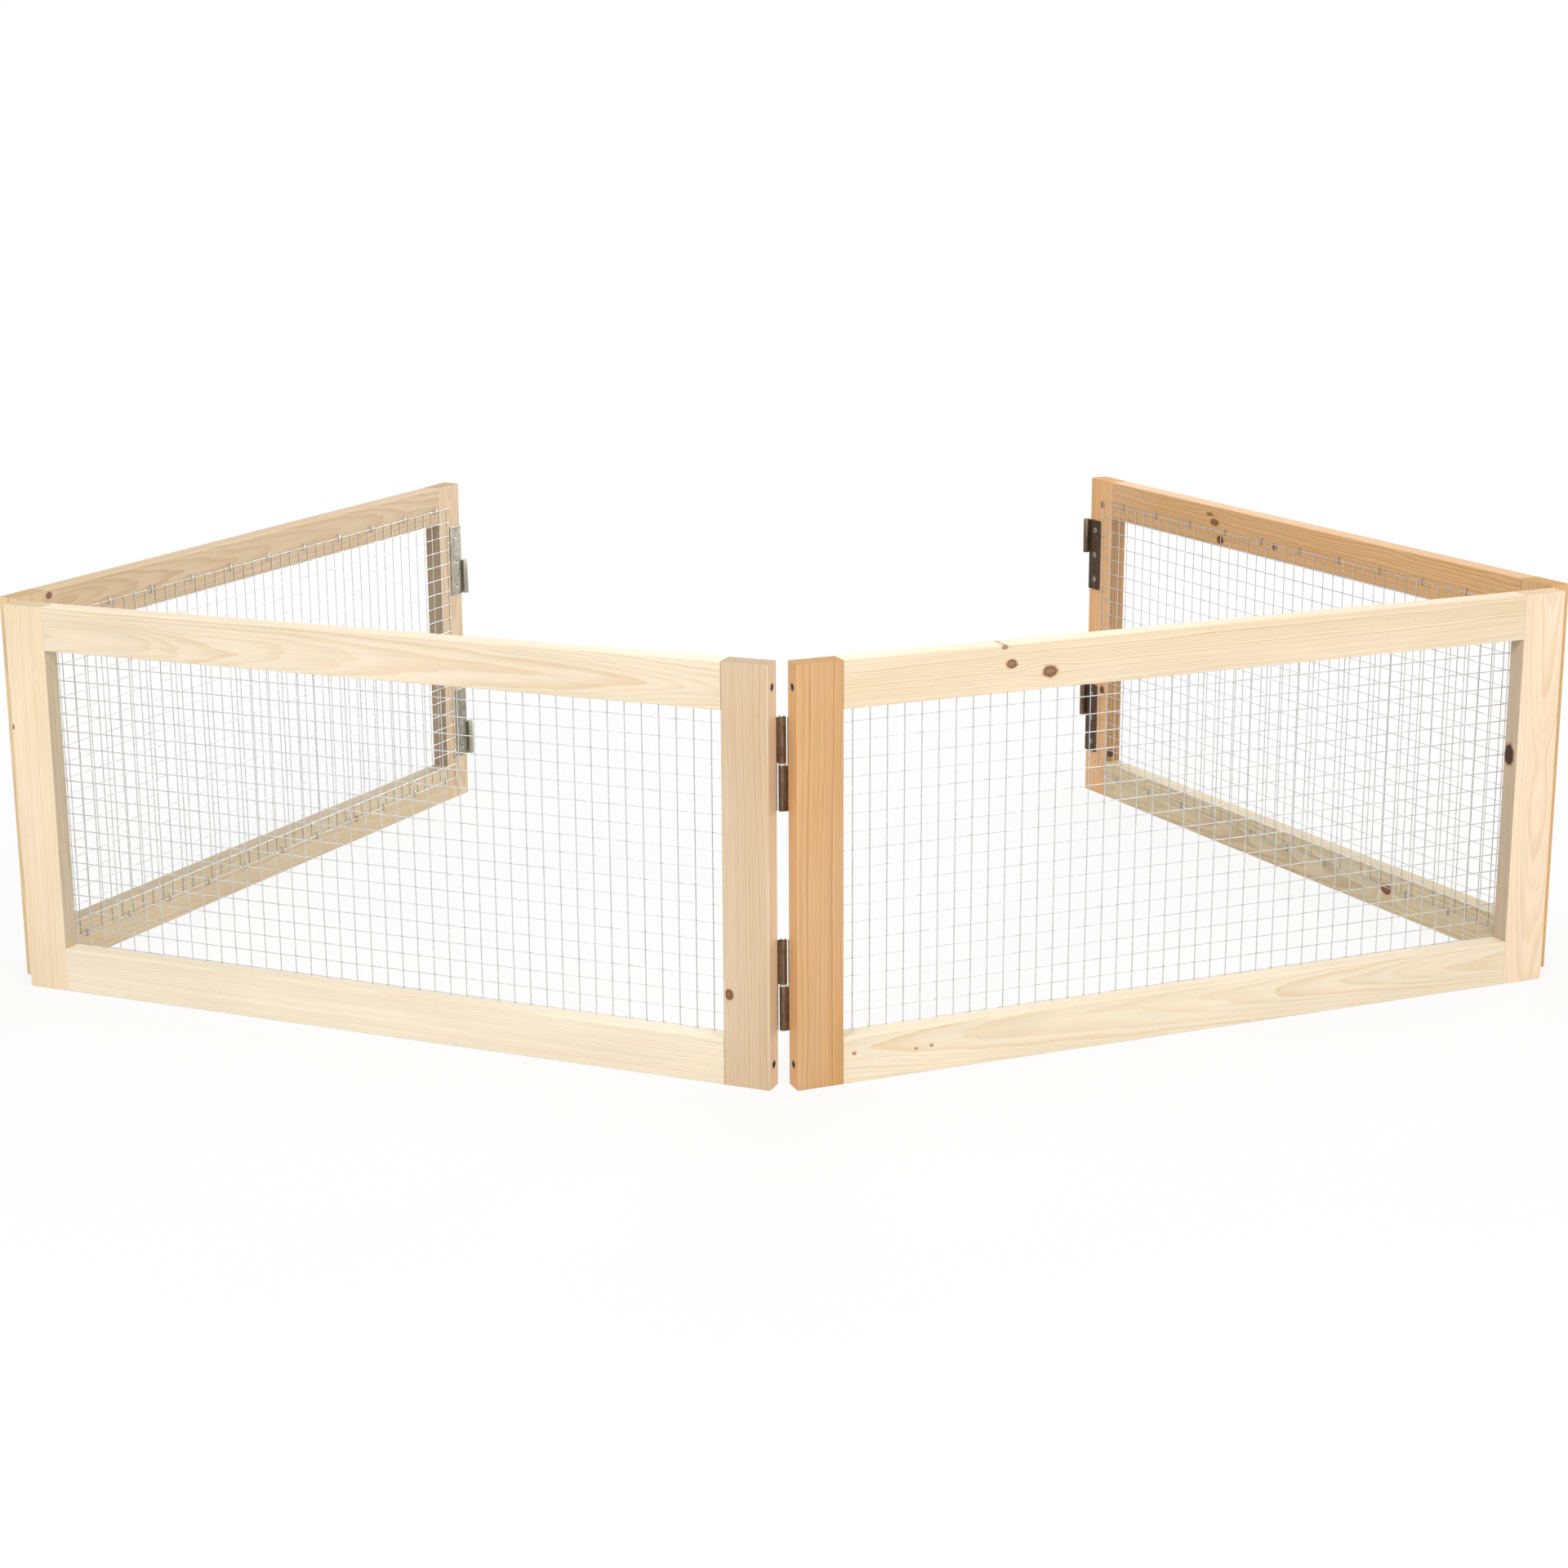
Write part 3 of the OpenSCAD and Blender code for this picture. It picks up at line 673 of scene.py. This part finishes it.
def stamp(name, places, material, body, replaced=()):
    """Puts copies of meshes at their places in one object, which rides on a body"""
    whole = bmesh.new()
    for mesh, place in places:
        verts_before = len(whole.verts)
        faces_before = len(whole.faces)
        whole.from_mesh(mesh)
        whole.verts.ensure_lookup_table()
        bmesh.ops.transform(whole, matrix=place, verts=whole.verts[verts_before:])
        if place.determinant() < 0:
            whole.faces.ensure_lookup_table()
            bmesh.ops.reverse_faces(whole, faces=whole.faces[faces_before:])
    piece = add_object(name, to_mesh(whole, name))
    give(piece, material)
    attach(piece, body)
    if replaced:
        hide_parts(*replaced)
    return piece


def spun(profile, steps):
    """Spins a profile of (radius, height) points into a closed, round shape"""
    shape = bmesh.new()
    verts = [shape.verts.new((radius, 0, height)) for radius, height in profile]
    edges = [shape.edges.new(pair) for pair in zip(verts, verts[1:])]
    swept(shape, verts + edges, (0, 0, 0), (0, 0, 1), 2 * math.pi, steps, merge=True)
    return sewn(shape)


def arc(centre, radius, start, end, steps):
    """Points on an arc, in degrees"""
    points = []
    for step in range(steps + 1):
        turn = math.radians(start + (end - start) * step / steps)
        points.append((centre[0] + radius * math.cos(turn), centre[1] + radius * math.sin(turn)))
    return points


def screw_mesh(name, sizes):
    """A countersunk wood screw with a tapered cross recess, head at z = 0, point down"""
    head_r, shank_r, length = sizes["head_r"], sizes["shank_r"], sizes["length"]
    rim_h, rim_round, point_r = 0.0003, 0.00012, 0.0004
    cone_h, point_h = head_r - shank_r, 3.2 * shank_r
    slot_half, arm, recess_taper, recess_depth = 0.14 * head_r, 0.62 * head_r, 0.62, 0.5
    shape = bmesh.new()
    outer = bmesh.ops.create_circle(
        shape, cap_ends=False, segments=ROUND_STEPS, radius=head_r - rim_round)["verts"]
    cross = []
    for quarter in range(4):
        for x, y in ((arm, -slot_half), (arm, slot_half), (slot_half, slot_half)):
            cross.append(shape.verts.new(turned(90 * quarter, "Z") @ Vector((x, y, 0))))
    loop = [shape.edges.new(pair) for pair in zip(cross, cross[1:] + cross[:1])]
    bmesh.ops.triangle_fill(
        shape, use_beauty=True, use_dissolve=False, edges=edges_of(outer) + loop, normal=(0, 0, 1))
    inside = [f for f in shape.faces if all(v in cross for v in f.verts)]
    inside = [f for f in inside if f.calc_center_median().length < arm]
    bmesh.ops.delete(shape, geom=inside, context="FACES_ONLY")

    # The recess goes down and narrows to its floor
    floor_edges = drawn(shape, loop, (0, 0, -recess_depth * cone_h), recess_taper)[1]
    bmesh.ops.holes_fill(shape, edges=floor_edges, sides=0)

    # Rounded rim, cone, shank and point
    ring = [e for e in shape.edges if e.is_boundary]
    radius, height = head_r - rim_round, 0.0
    steps = (
        (head_r, -rim_round), (head_r, -rim_h), (shank_r, -rim_h - cone_h),
        (shank_r, -length + point_h), (point_r, -length),
    )
    for next_radius, next_height in steps:
        ring = drawn(shape, ring, (0, 0, next_height - height), next_radius / radius)[1]
        radius, height = next_radius, next_height
    bmesh.ops.holes_fill(shape, edges=ring, sides=0)
    bmesh.ops.recalc_face_normals(shape, faces=shape.faces)
    return to_mesh(shape, name, smooth_angle=30)


def sheet_mesh(shape, name, thickness, bevel):
    """Gives a sheet its thickness and soft edges, and returns the finished mesh"""
    mesh = bpy.data.meshes.new(name)
    shape.to_mesh(mesh)
    shape.free()
    sheet = add_object(name, mesh)
    wall = sheet.modifiers.new("wall", "SOLIDIFY")
    wall.thickness = thickness
    wall.offset = 0
    wall.use_even_offset = True
    soft = sheet.modifiers.new("soft_edges", "BEVEL")
    soft.width = bevel
    soft.segments = 2
    soft.limit_method = "ANGLE"
    soft.angle_limit = math.radians(40)
    soft.harden_normals = False
    finished = sheet.evaluated_get(bpy.context.evaluated_depsgraph_get())
    made = bpy.data.meshes.new_from_object(finished)
    made.name = name + "_made"
    bpy.data.objects.remove(sheet)
    made.set_sharp_from_angle(angle=math.radians(35))
    return made


def leaf_mesh(name, knuckle_z, look):
    """One rolled hinge half at the left end: leaf, tab and open-seamed knuckle, about its own middle"""
    shape = bmesh.new()
    wear = shape.verts.layers.float.new("edge_wear")
    half, r, mid_y = HINGE_H / 2, LEAF_CORNER_R, LEAF_T / 2
    low, high = knuckle_z, knuckle_z + KNUCKLE_H
    outline = [(0.0, -half), (LEAF_W - r, -half)]
    outline += arc((LEAF_W - r, -half + r), r, -90, 0, 6)[1:]
    outline += arc((LEAF_W - r, half - r), r, 0, 90, 6)
    outline += [(0.0, half)] + [(0.0, z) for z in (high, low) if abs(z) < half - SAME_PLACE]
    ring = [shape.verts.new((x, mid_y, z)) for x, z in outline]
    edges = [shape.edges.new(pair) for pair in zip(ring, ring[1:] + ring[:1])]
    for z in SCREW_ROWS:
        hole = bmesh.ops.create_circle(
            shape, cap_ends=False, segments=ROUND_STEPS, radius=HINGE_SCREW["head_r"] + SCREW_SLACK,
            matrix=Matrix.Translation((LEAF_W / 2, mid_y, z)) @ turned(90, "X"))
        edges += edges_of(hole["verts"])
    bmesh.ops.triangle_fill(shape, use_beauty=True, use_dissolve=False, edges=edges, normal=(0, 1, 0))
    bmesh.ops.recalc_face_normals(shape, faces=shape.faces)

    # A narrow border round the leaf and its holes, which carries the wear
    bmesh.ops.inset_region(
        shape, faces=shape.faces[:], use_boundary=True, use_even_offset=True,
        thickness=look.wear_width, depth=0)
    seam = [
        edge for edge in shape.edges if edge.is_boundary and all(
            abs(v.co.x) < SAME_PLACE and low - SAME_PLACE < v.co.z < high + SAME_PLACE for v in edge.verts)
    ]
    verts, seam = drawn(shape, seam, (-HINGE_GAP / 2, -LEAF_SET_IN, 0))
    roll = -math.radians(look.roll_angle)
    swept(shape, verts + seam, (-HINGE_GAP / 2, AXIS_OFF, 0), (0, 0, 1), roll, 26)
    sewn(shape)
    for vert in shape.verts:
        vert[wear] = 1.0 if vert.is_boundary else 0.0
    return sheet_mesh(shape, name, LEAF_T, look.edge_round)


def staple_mesh(name, crown_z):
    """One staple: flat wire bent over twice, crown along x at crown_z, legs in the timber"""
    bend_r = STAPLE_WIRE_T * 0.9
    bend_x = STAPLE_W / 2 - STAPLE_WIRE_T - bend_r
    level = crown_z - bend_r
    rise = STAPLE_BITE + level
    shape = bmesh.new()
    start = Matrix.Translation(((STAPLE_WIRE_T - STAPLE_W) / 2, 0, -STAPLE_BITE))
    section = Matrix.Diagonal((STAPLE_WIRE_T, STAPLE_WIRE_W, 1, 1))
    bmesh.ops.create_grid(shape, x_segments=1, y_segments=1, size=0.5, matrix=start @ section)
    wire = shape.faces[:]
    for run, bend in (((0, 0, rise), -bend_x), ((2 * bend_x, 0, 0), bend_x), ((0, 0, -rise), None)):
        faces = only(bmesh.types.BMFace, wire)
        wire = bmesh.ops.extrude_face_region(shape, geom=faces)["geom"]
        bmesh.ops.translate(shape, vec=run, verts=only(bmesh.types.BMVert, wire))
        if bend is not None:
            wire = swept(shape, wire, (bend, 0, level), (0, 1, 0), math.pi / 2, 3)
    bmesh.ops.remove_doubles(shape, verts=shape.verts, dist=SAME_PLACE)
    inner = [f for f in shape.faces if all(not e.is_manifold and len(e.link_faces) > 2 for e in f.edges)]
    bmesh.ops.delete(shape, geom=inner, context="FACES_ONLY")
    bmesh.ops.recalc_face_normals(shape, faces=shape.faces)
    return to_mesh(shape, name)


# Sizes and colours that a user would change
class PenTimber(PropertyGroup):
    ring_scale: FloatProperty(
        name="Ring width", description="Width of the year rings, as a share of each timber's own",
        default=1.0, min=0.4, max=2.5)
    contrast: FloatProperty(
        name="Ring contrast", description="How much darker the late wood is", default=1.0, min=0, max=1.6)
    relief: FloatProperty(
        name="Relief", description="Strength of the grain's relief", default=0.9, min=0, max=2)
    arris_wear_mm: FloatProperty(
        name="Arris wear", description="Width of the rubbed edge, in millimetres",
        default=1.4, min=0.2, max=5)


class PenWire(PropertyGroup):
    weld_width: FloatProperty(
        name="Weld width", description="Width of the fused bead at a crossing",
        default=0.0016, min=0.0011, max=0.003, unit="LENGTH", subtype="DISTANCE")
    weld_height: FloatProperty(
        name="Weld height", description="Depth of the fused bead at a crossing",
        default=0.0013, min=0.0008, max=0.0025, unit="LENGTH", subtype="DISTANCE")
    zinc_colour: FloatVectorProperty(
        name="Zinc", description="Colour of the galvanised wire", subtype="COLOR",
        default=(0.71, 0.72, 0.72), min=0, max=1)
    dull_colour: FloatVectorProperty(
        name="Dull zinc", description="Colour of the dull patches on the wire", subtype="COLOR",
        default=(0.50, 0.51, 0.51), min=0, max=1)


class PenHinge(PropertyGroup):
    roll_angle: FloatProperty(
        name="Roll", description="How far the knuckle is rolled round its pin, in degrees",
        default=292, min=240, max=300)
    edge_round: FloatProperty(
        name="Edge rounding", description="Rounding of the pressed edges", default=0.00028,
        min=0.0001, max=0.0006, unit="LENGTH", subtype="DISTANCE")
    wear_width: FloatProperty(
        name="Wear width", description="Width of the rubbed border", default=0.0009,
        min=0.0003, max=0.002, unit="LENGTH", subtype="DISTANCE")
    steel_colour: FloatVectorProperty(
        name="Steel", description="Colour of the aged plate", subtype="COLOR",
        default=(0.085, 0.044, 0.022), min=0, max=1)
    worn_colour: FloatVectorProperty(
        name="Worn steel", description="Colour where the plate is rubbed bright",
        subtype="COLOR", default=(0.25, 0.175, 0.115), min=0, max=1)
    # The pair at the back left end gets this paler steel as painted reflection: it stands in for the bright
    # surroundings that its shiny leaves reflect, not for less ageing
    painted_light_colour: FloatVectorProperty(
        name="Pale steel", description="Colour of the pair at the back left end, painted paler as reflection of bright surroundings",
        subtype="COLOR", default=(0.28, 0.27, 0.215), min=0, max=1)
    nylon_colour: FloatVectorProperty(
        name="Washers", description="Colour of the washers", subtype="COLOR",
        default=(0.79, 0.77, 0.70), min=0, max=1)


class PenScrew(PropertyGroup):
    zinc_colour: FloatVectorProperty(
        name="Screw zinc", description="Colour of the screws and pins", subtype="COLOR",
        default=(0.56, 0.55, 0.52), min=0, max=1)
    dull_colour: FloatVectorProperty(
        name="Dull screw", description="Colour of the dull places on the screws and pins",
        subtype="COLOR", default=(0.30, 0.29, 0.27), min=0, max=1)
    aged_colour: FloatVectorProperty(
        name="Frame screws", description="Colour of the frame screws, which show in the end faces",
        subtype="COLOR", default=(0.17, 0.13, 0.10), min=0, max=1)
    turn_step: FloatProperty(
        name="Turn", description="How far each screw's slots are turned from the one before it",
        default=math.radians(37), subtype="ANGLE")


class PenStage(PropertyGroup):
    key_power: FloatProperty(
        name="Key light", description="Power of the large front light", default=91.0, min=0, unit="POWER")
    fill_power: FloatProperty(
        name="Fill light", description="Power of the fill lights", default=60.0, min=0, unit="POWER")
    side_power: FloatProperty(
        name="Side light", description="Power of the low light at the back right",
        default=60.0, min=0, unit="POWER")
    top_power: FloatProperty(
        name="Top light", description="Power of the light overhead", default=54.0, min=0, unit="POWER")
    sky: FloatProperty(
        name="Room light", description="Strength of the light from all round", default=0.22, min=0, max=1)
    floor_size: FloatProperty(
        name="Floor size", description="Length of the floor's sides", default=14.0, min=4,
        unit="LENGTH", subtype="DISTANCE")


# Operators: one for each group of pieces, and one for the stage
class PEN_OT_timbers(Operator):
    """Give each stile and rail its own planed pine"""
    bl_idname = "pen.timbers"
    bl_label = "Finish the timbers"

    def execute(self, context):
        groups = {"knot": knot_group(), "pine": pine_group()}
        for index, node in enumerate(sorted(GRAINS)):
            give(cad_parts[node], pine(node, context.scene.pen_timber, groups, SEED_STEP * index))
        return {"FINISHED"}


class PEN_OT_wire(Operator):
    """Zinc the mesh wires and add the fused beads where they cross"""
    bl_idname = "pen.wire"
    bl_label = "Finish the wire mesh"

    def execute(self, context):
        look = context.scene.pen_wire
        coat = zinc("galvanised_wire", look.zinc_colour, look.dull_colour)
        shape = bmesh.new()
        size = Matrix.Diagonal((look.weld_width / 2, look.weld_height / 2, look.weld_width / 2, 1))
        bmesh.ops.create_uvsphere(shape, u_segments=8, v_segments=4, radius=1.0, matrix=size)
        bead = to_mesh(shape, "weld_bead", smooth_angle=80)
        for panel in PANELS:
            give(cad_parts[f"{panel}_wire_mesh"], coat)
            place = place_panel(panel)
            places = []
            for col in range(MESH_COLS + 1):
                for row in range(MESH_ROWS + 1):
                    turn = Matrix.Rotation(BEAD_TURN[0] * col + BEAD_TURN[1] * row, 4, "Y")
                    spot = on_mesh(col, row, (UPRIGHT_Y + CROSSWIRE_Y) / 2)
                    places.append((bead, place @ spot @ turn))
            stamp(f"{panel}_weld_beads", places, coat, f"{panel}_panel")
        return {"FINISHED"}


class PEN_OT_staples(Operator):
    """Make the bent staples that hold the mesh to the timbers"""
    bl_idname = "pen.staples"
    bl_label = "Make the staples"

    def execute(self, context):
        look = context.scene.pen_wire
        tone, dull = toned(look.zinc_colour, 0.86), toned(look.dull_colour, 0.8)
        coat = zinc("staple_steel", tone, dull, rough=0.38)
        over_crosswire = staple_mesh("staple_high", WIRE_SEAT + 2 * WIRE_D + WELD_GAP + STAPLE_SEAT)
        over_upright = staple_mesh("staple_low", WIRE_SEAT + WIRE_D + STAPLE_SEAT)
        lying = turned(-90, "X")
        standing = turned(90, "Y") @ lying
        for panel in PANELS:
            place = place_panel(panel)
            places = []
            for col in range(1, MESH_COLS - 1, STAPLE_EVERY):
                for row in (0, MESH_ROWS):
                    places.append((over_crosswire, place @ on_mesh(col + 0.5, row, TIMBER_T) @ standing))
            for row in range(1, MESH_ROWS - 1, STAPLE_EVERY):
                for col in (0, MESH_COLS):
                    places.append((over_upright, place @ on_mesh(col, row + 0.5, TIMBER_T) @ lying))
            stamp(
                f"{panel}_staples", places, coat, f"{panel}_panel", [f"{panel}_mesh_staples"])
        return {"FINISHED"}


class PEN_OT_hinges(Operator):
    """Make the sixteen rolled hinge halves"""
    bl_idname = "pen.hinges"
    bl_label = "Make the hinge halves"

    def execute(self, context):
        look = context.scene.pen_hinge
        aged = hinge_steel("hinge_steel", look.steel_colour, look.worn_colour)
        # The paler copy of the steel is painted reflection: it goes on the pair at the back left end, to
        # stand in for the bright surroundings that its leaves reflect
        painted_light_steel = hinge_steel("hinge_steel_painted_light", look.painted_light_colour, toned(look.painted_light_colour, 1.7))
        halves = {
            "left": leaf_mesh("left_half", -HINGE_H / 2, look),
            "right": leaf_mesh("right_half", KNUCKLE_GAP / 2, look),
        }
        for panel in PANELS:
            for end, at_end in panel_ends(panel):
                steel = painted_light_steel if (panel, end) == ("back_left", "left") else aged
                for level, height in HINGE_HEIGHTS.items():
                    place = at_end @ Matrix.Translation((0, TIMBER_T, height))
                    stamp(
                        f"{panel}_{end}_{level}_leaf", [(halves[end], place)], steel, f"{panel}_panel",
                        [f"{panel}_{end}_{level}_hinge"])
        return {"FINISHED"}


class PEN_OT_pins(Operator):
    """Make the six loose pins with their domed heads"""
    bl_idname = "pen.pins"
    bl_label = "Make the pins"

    def execute(self, context):
        look = context.scene.pen_screw
        coat = zinc("pin_steel", look.zinc_colour, look.dull_colour, rough=0.34)
        dome_r, edge = 0.0009, 0.0003
        profile = [(0, -PIN_L), (PIN_R - 0.0012, -PIN_L), (PIN_R - 0.0004, -PIN_L + 0.0005)]
        profile += [(PIN_R, -PIN_L + 0.0016), (PIN_R, 0), (PIN_HEAD_R - edge, 0), (PIN_HEAD_R, edge)]
        profile += arc((PIN_HEAD_R - dome_r, PIN_HEAD_H - dome_r), dome_r, 0, 75, 5)
        profile += [(0, PIN_HEAD_H)]
        pin = to_mesh(spun(profile, steps=32), "pin")
        for connection in CONNECTIONS:
            for level, height in HINGE_HEIGHTS.items():
                place = on_axis(connection, height + HINGE_H / 2 + PIN_SEAT)
                stamp(
                    f"{connection}_{level}_pin_rod", [(pin, place)], coat,
                    f"{connection}_{level}_loose_pin", [f"{connection}_{level}_pin"])
        return {"FINISHED"}


class PEN_OT_washers(Operator):
    """Make the nylon washers between the knuckles"""
    bl_idname = "pen.washers"
    bl_label = "Make the washers"

    def execute(self, context):
        half, r = WASHER_T / 2, 0.0004
        profile = [(WASHER_BORE_R, -half + r), (WASHER_BORE_R + r, -half)]
        profile += arc((KNUCKLE_R - r, -half + r), r, -90, 0, 3)
        profile += arc((KNUCKLE_R - r, half - r), r, 0, 90, 3)
        profile += [(WASHER_BORE_R + r, half), (WASHER_BORE_R, half - r), (WASHER_BORE_R, -half + r)]
        ring = to_mesh(spun(profile, steps=36), "washer")
        plastic = nylon(context.scene.pen_hinge)
        for connection in CONNECTIONS:
            places = [(ring, on_axis(connection, height)) for height in HINGE_HEIGHTS.values()]
            stamp(
                f"{connection}_washer_rings", places, plastic, f"{connection}_washer_pair",
                [f"{connection}_washers"])
        return {"FINISHED"}


class PEN_OT_screws(Operator):
    """Make the frame screws and hinge screws"""
    bl_idname = "pen.screws"
    bl_label = "Make the screws"

    def execute(self, context):
        look = context.scene.pen_screw
        cell = 0.0011
        coat = zinc("screw_steel", look.zinc_colour, look.dull_colour, rough=0.36, cell=cell)
        aged = zinc("frame_screw_steel", look.aged_colour, toned(look.aged_colour, 0.45), cell=cell)
        small = screw_mesh("hinge_screw", HINGE_SCREW)
        large = screw_mesh("frame_screw", FRAME_SCREW)
        spots = [
            (small, turned(-90, "X"), (LEAF_W / 2, TIMBER_T + LEAF_T, height + row))
            for height in HINGE_HEIGHTS.values() for row in SCREW_ROWS
        ]
        spots += [(large, turned(-90, "Y"), (0, TIMBER_T / 2, z)) for z in (RAIL_H / 2, PANEL_H - RAIL_H / 2)]
        for number, panel in enumerate(PANELS):
            turns = SCREW_STEP * number
            places = {small: [], large: []}
            for _, at_end in panel_ends(panel):
                for screw, facing, spot in spots:
                    turns += 1
                    turn = facing @ Matrix.Rotation(look.turn_step * turns, 4, "Z")
                    places[screw].append((screw, at_end @ Matrix.Translation(spot) @ turn))
            body = f"{panel}_panel"
            stamp(
                f"{panel}_leaf_screws", places[small], coat, body, [f"{panel}_hinge_screws"])
            stamp(
                f"{panel}_long_screws", places[large], aged, body, [f"{panel}_frame_screws"])
        return {"FINISHED"}


def white_for_view(shader, plain_strength):
    """1 for rays from the camera, in gloss and through glass, and a plain strength for the rest"""
    path = shader.add("ShaderNodeLightPath").outputs
    seen = shader.maths("MAXIMUM", path["Is Camera Ray"], path["Is Glossy Ray"])
    seen = shader.maths("MAXIMUM", seen, path["Is Transmission Ray"])
    return shader.ease(seen, 0.0, 1.0, plain_strength, 1.0)


class PEN_OT_stage(Operator):
    """Set up the floor, the soft studio light and the camera"""
    bl_idname = "pen.stage"
    bl_label = "Set the stage"

    def execute(self, context):
        look = context.scene.pen_stage
        scene = context.scene
        shape = bmesh.new()
        bmesh.ops.create_grid(shape, x_segments=1, y_segments=1, size=look.floor_size / 2)
        floor = add_object("floor", to_mesh(shape, "floor"))
        material, shader = new_material("floor_white")
        plain = shader.add("ShaderNodeBsdfDiffuse", {"Color": FLOOR_TONE})
        glow = shader.add("ShaderNodeEmission", {"Color": WHITE, "Strength": 1.0})
        path = shader.add("ShaderNodeLightPath").outputs
        spot = shader.add("ShaderNodeTexCoord").outputs["Object"]
        away = shader.add("ShaderNodeVectorMath", {0: spot}, operation="LENGTH").outputs["Value"]
        share = shader.times(path["Is Camera Ray"], shader.ease(away, *WHITE_GROWS, WHITE_NEAR, 1.0))
        shader.finish({0: share, 1: plain, 2: glow}, "ShaderNodeMixShader")
        give(floor, material)

        scene.world = bpy.data.worlds.new("room")
        scene.world.use_nodes = True
        shader = Shader(scene.world.node_tree)
        light = {"Color": WHITE, "Strength": white_for_view(shader, look.sky)}
        shader.add("ShaderNodeOutputWorld", {"Surface": shader.add("ShaderNodeBackground", light)})

        for name, place, target, power, share, size in LAMPS:
            lamp = bpy.data.lights.new(name, "AREA")
            lamp.energy = getattr(look, power) * share
            lamp.shape = "DISK"
            lamp.size = size
            holder = add_object(name, lamp)
            holder.location = place
            holder.rotation_euler = (Vector(target) - Vector(place)).to_track_quat("-Z", "Y").to_euler()

        camera = bpy.data.cameras.new("photo_camera")
        for key, value in CAMERA.items():
            setattr(camera, key, value)
        holder = add_object("photo_camera", camera)
        holder.matrix_world = (
            Matrix.Translation(CAMERA_PLACE)
            @ Matrix.Rotation(CAMERA_YAW, 4, "Z")
            @ Matrix.Rotation(math.pi / 2 - CAMERA_PITCH, 4, "X")
            @ Matrix.Rotation(CAMERA_ROLL, 4, "Z")
        )
        scene.camera = holder
        scene.view_settings.view_transform = "Standard"
        return {"FINISHED"}


class PEN_PT_panel(Panel):
    """Lists the pen's operators and sizes"""
    bl_idname = "PEN_PT_panel"
    bl_label = "Guinea pig pen"
    bl_space_type = "VIEW_3D"
    bl_region_type = "UI"
    bl_category = "Pen"

    def draw(self, context):
        for step in STEPS:
            self.layout.operator(step.bl_idname)
        for look in LOOKS:
            group = getattr(context.scene, look)
            box = self.layout.box()
            for name in group.__annotations__:
                box.prop(group, name)


STEPS = (
    PEN_OT_timbers, PEN_OT_wire, PEN_OT_staples, PEN_OT_hinges, PEN_OT_pins, PEN_OT_washers, PEN_OT_screws,
    PEN_OT_stage,
)
LOOKS = {
    "pen_timber": PenTimber, "pen_wire": PenWire, "pen_hinge": PenHinge, "pen_screw": PenScrew,
    "pen_stage": PenStage,
}


def register():
    """Registers the property groups, the operators and the panel"""
    for name, group in LOOKS.items():
        bpy.utils.register_class(group)
        setattr(bpy.types.Scene, name, PointerProperty(type=group))
    for step in STEPS + (PEN_PT_panel,):
        bpy.utils.register_class(step)


def unregister():
    """Takes them out again"""
    for step in reversed(STEPS + (PEN_PT_panel,)):
        bpy.utils.unregister_class(step)
    for name, group in reversed(list(LOOKS.items())):
        delattr(bpy.types.Scene, name)
        bpy.utils.unregister_class(group)


def main():
    """Makes everything in order"""
    register()
    bpy.ops.pen.timbers()
    bpy.ops.pen.wire()
    bpy.ops.pen.staples()
    bpy.ops.pen.hinges()
    bpy.ops.pen.pins()
    bpy.ops.pen.washers()
    bpy.ops.pen.screws()
    bpy.ops.pen.stage()


if __name__ == "__main__":
    main()
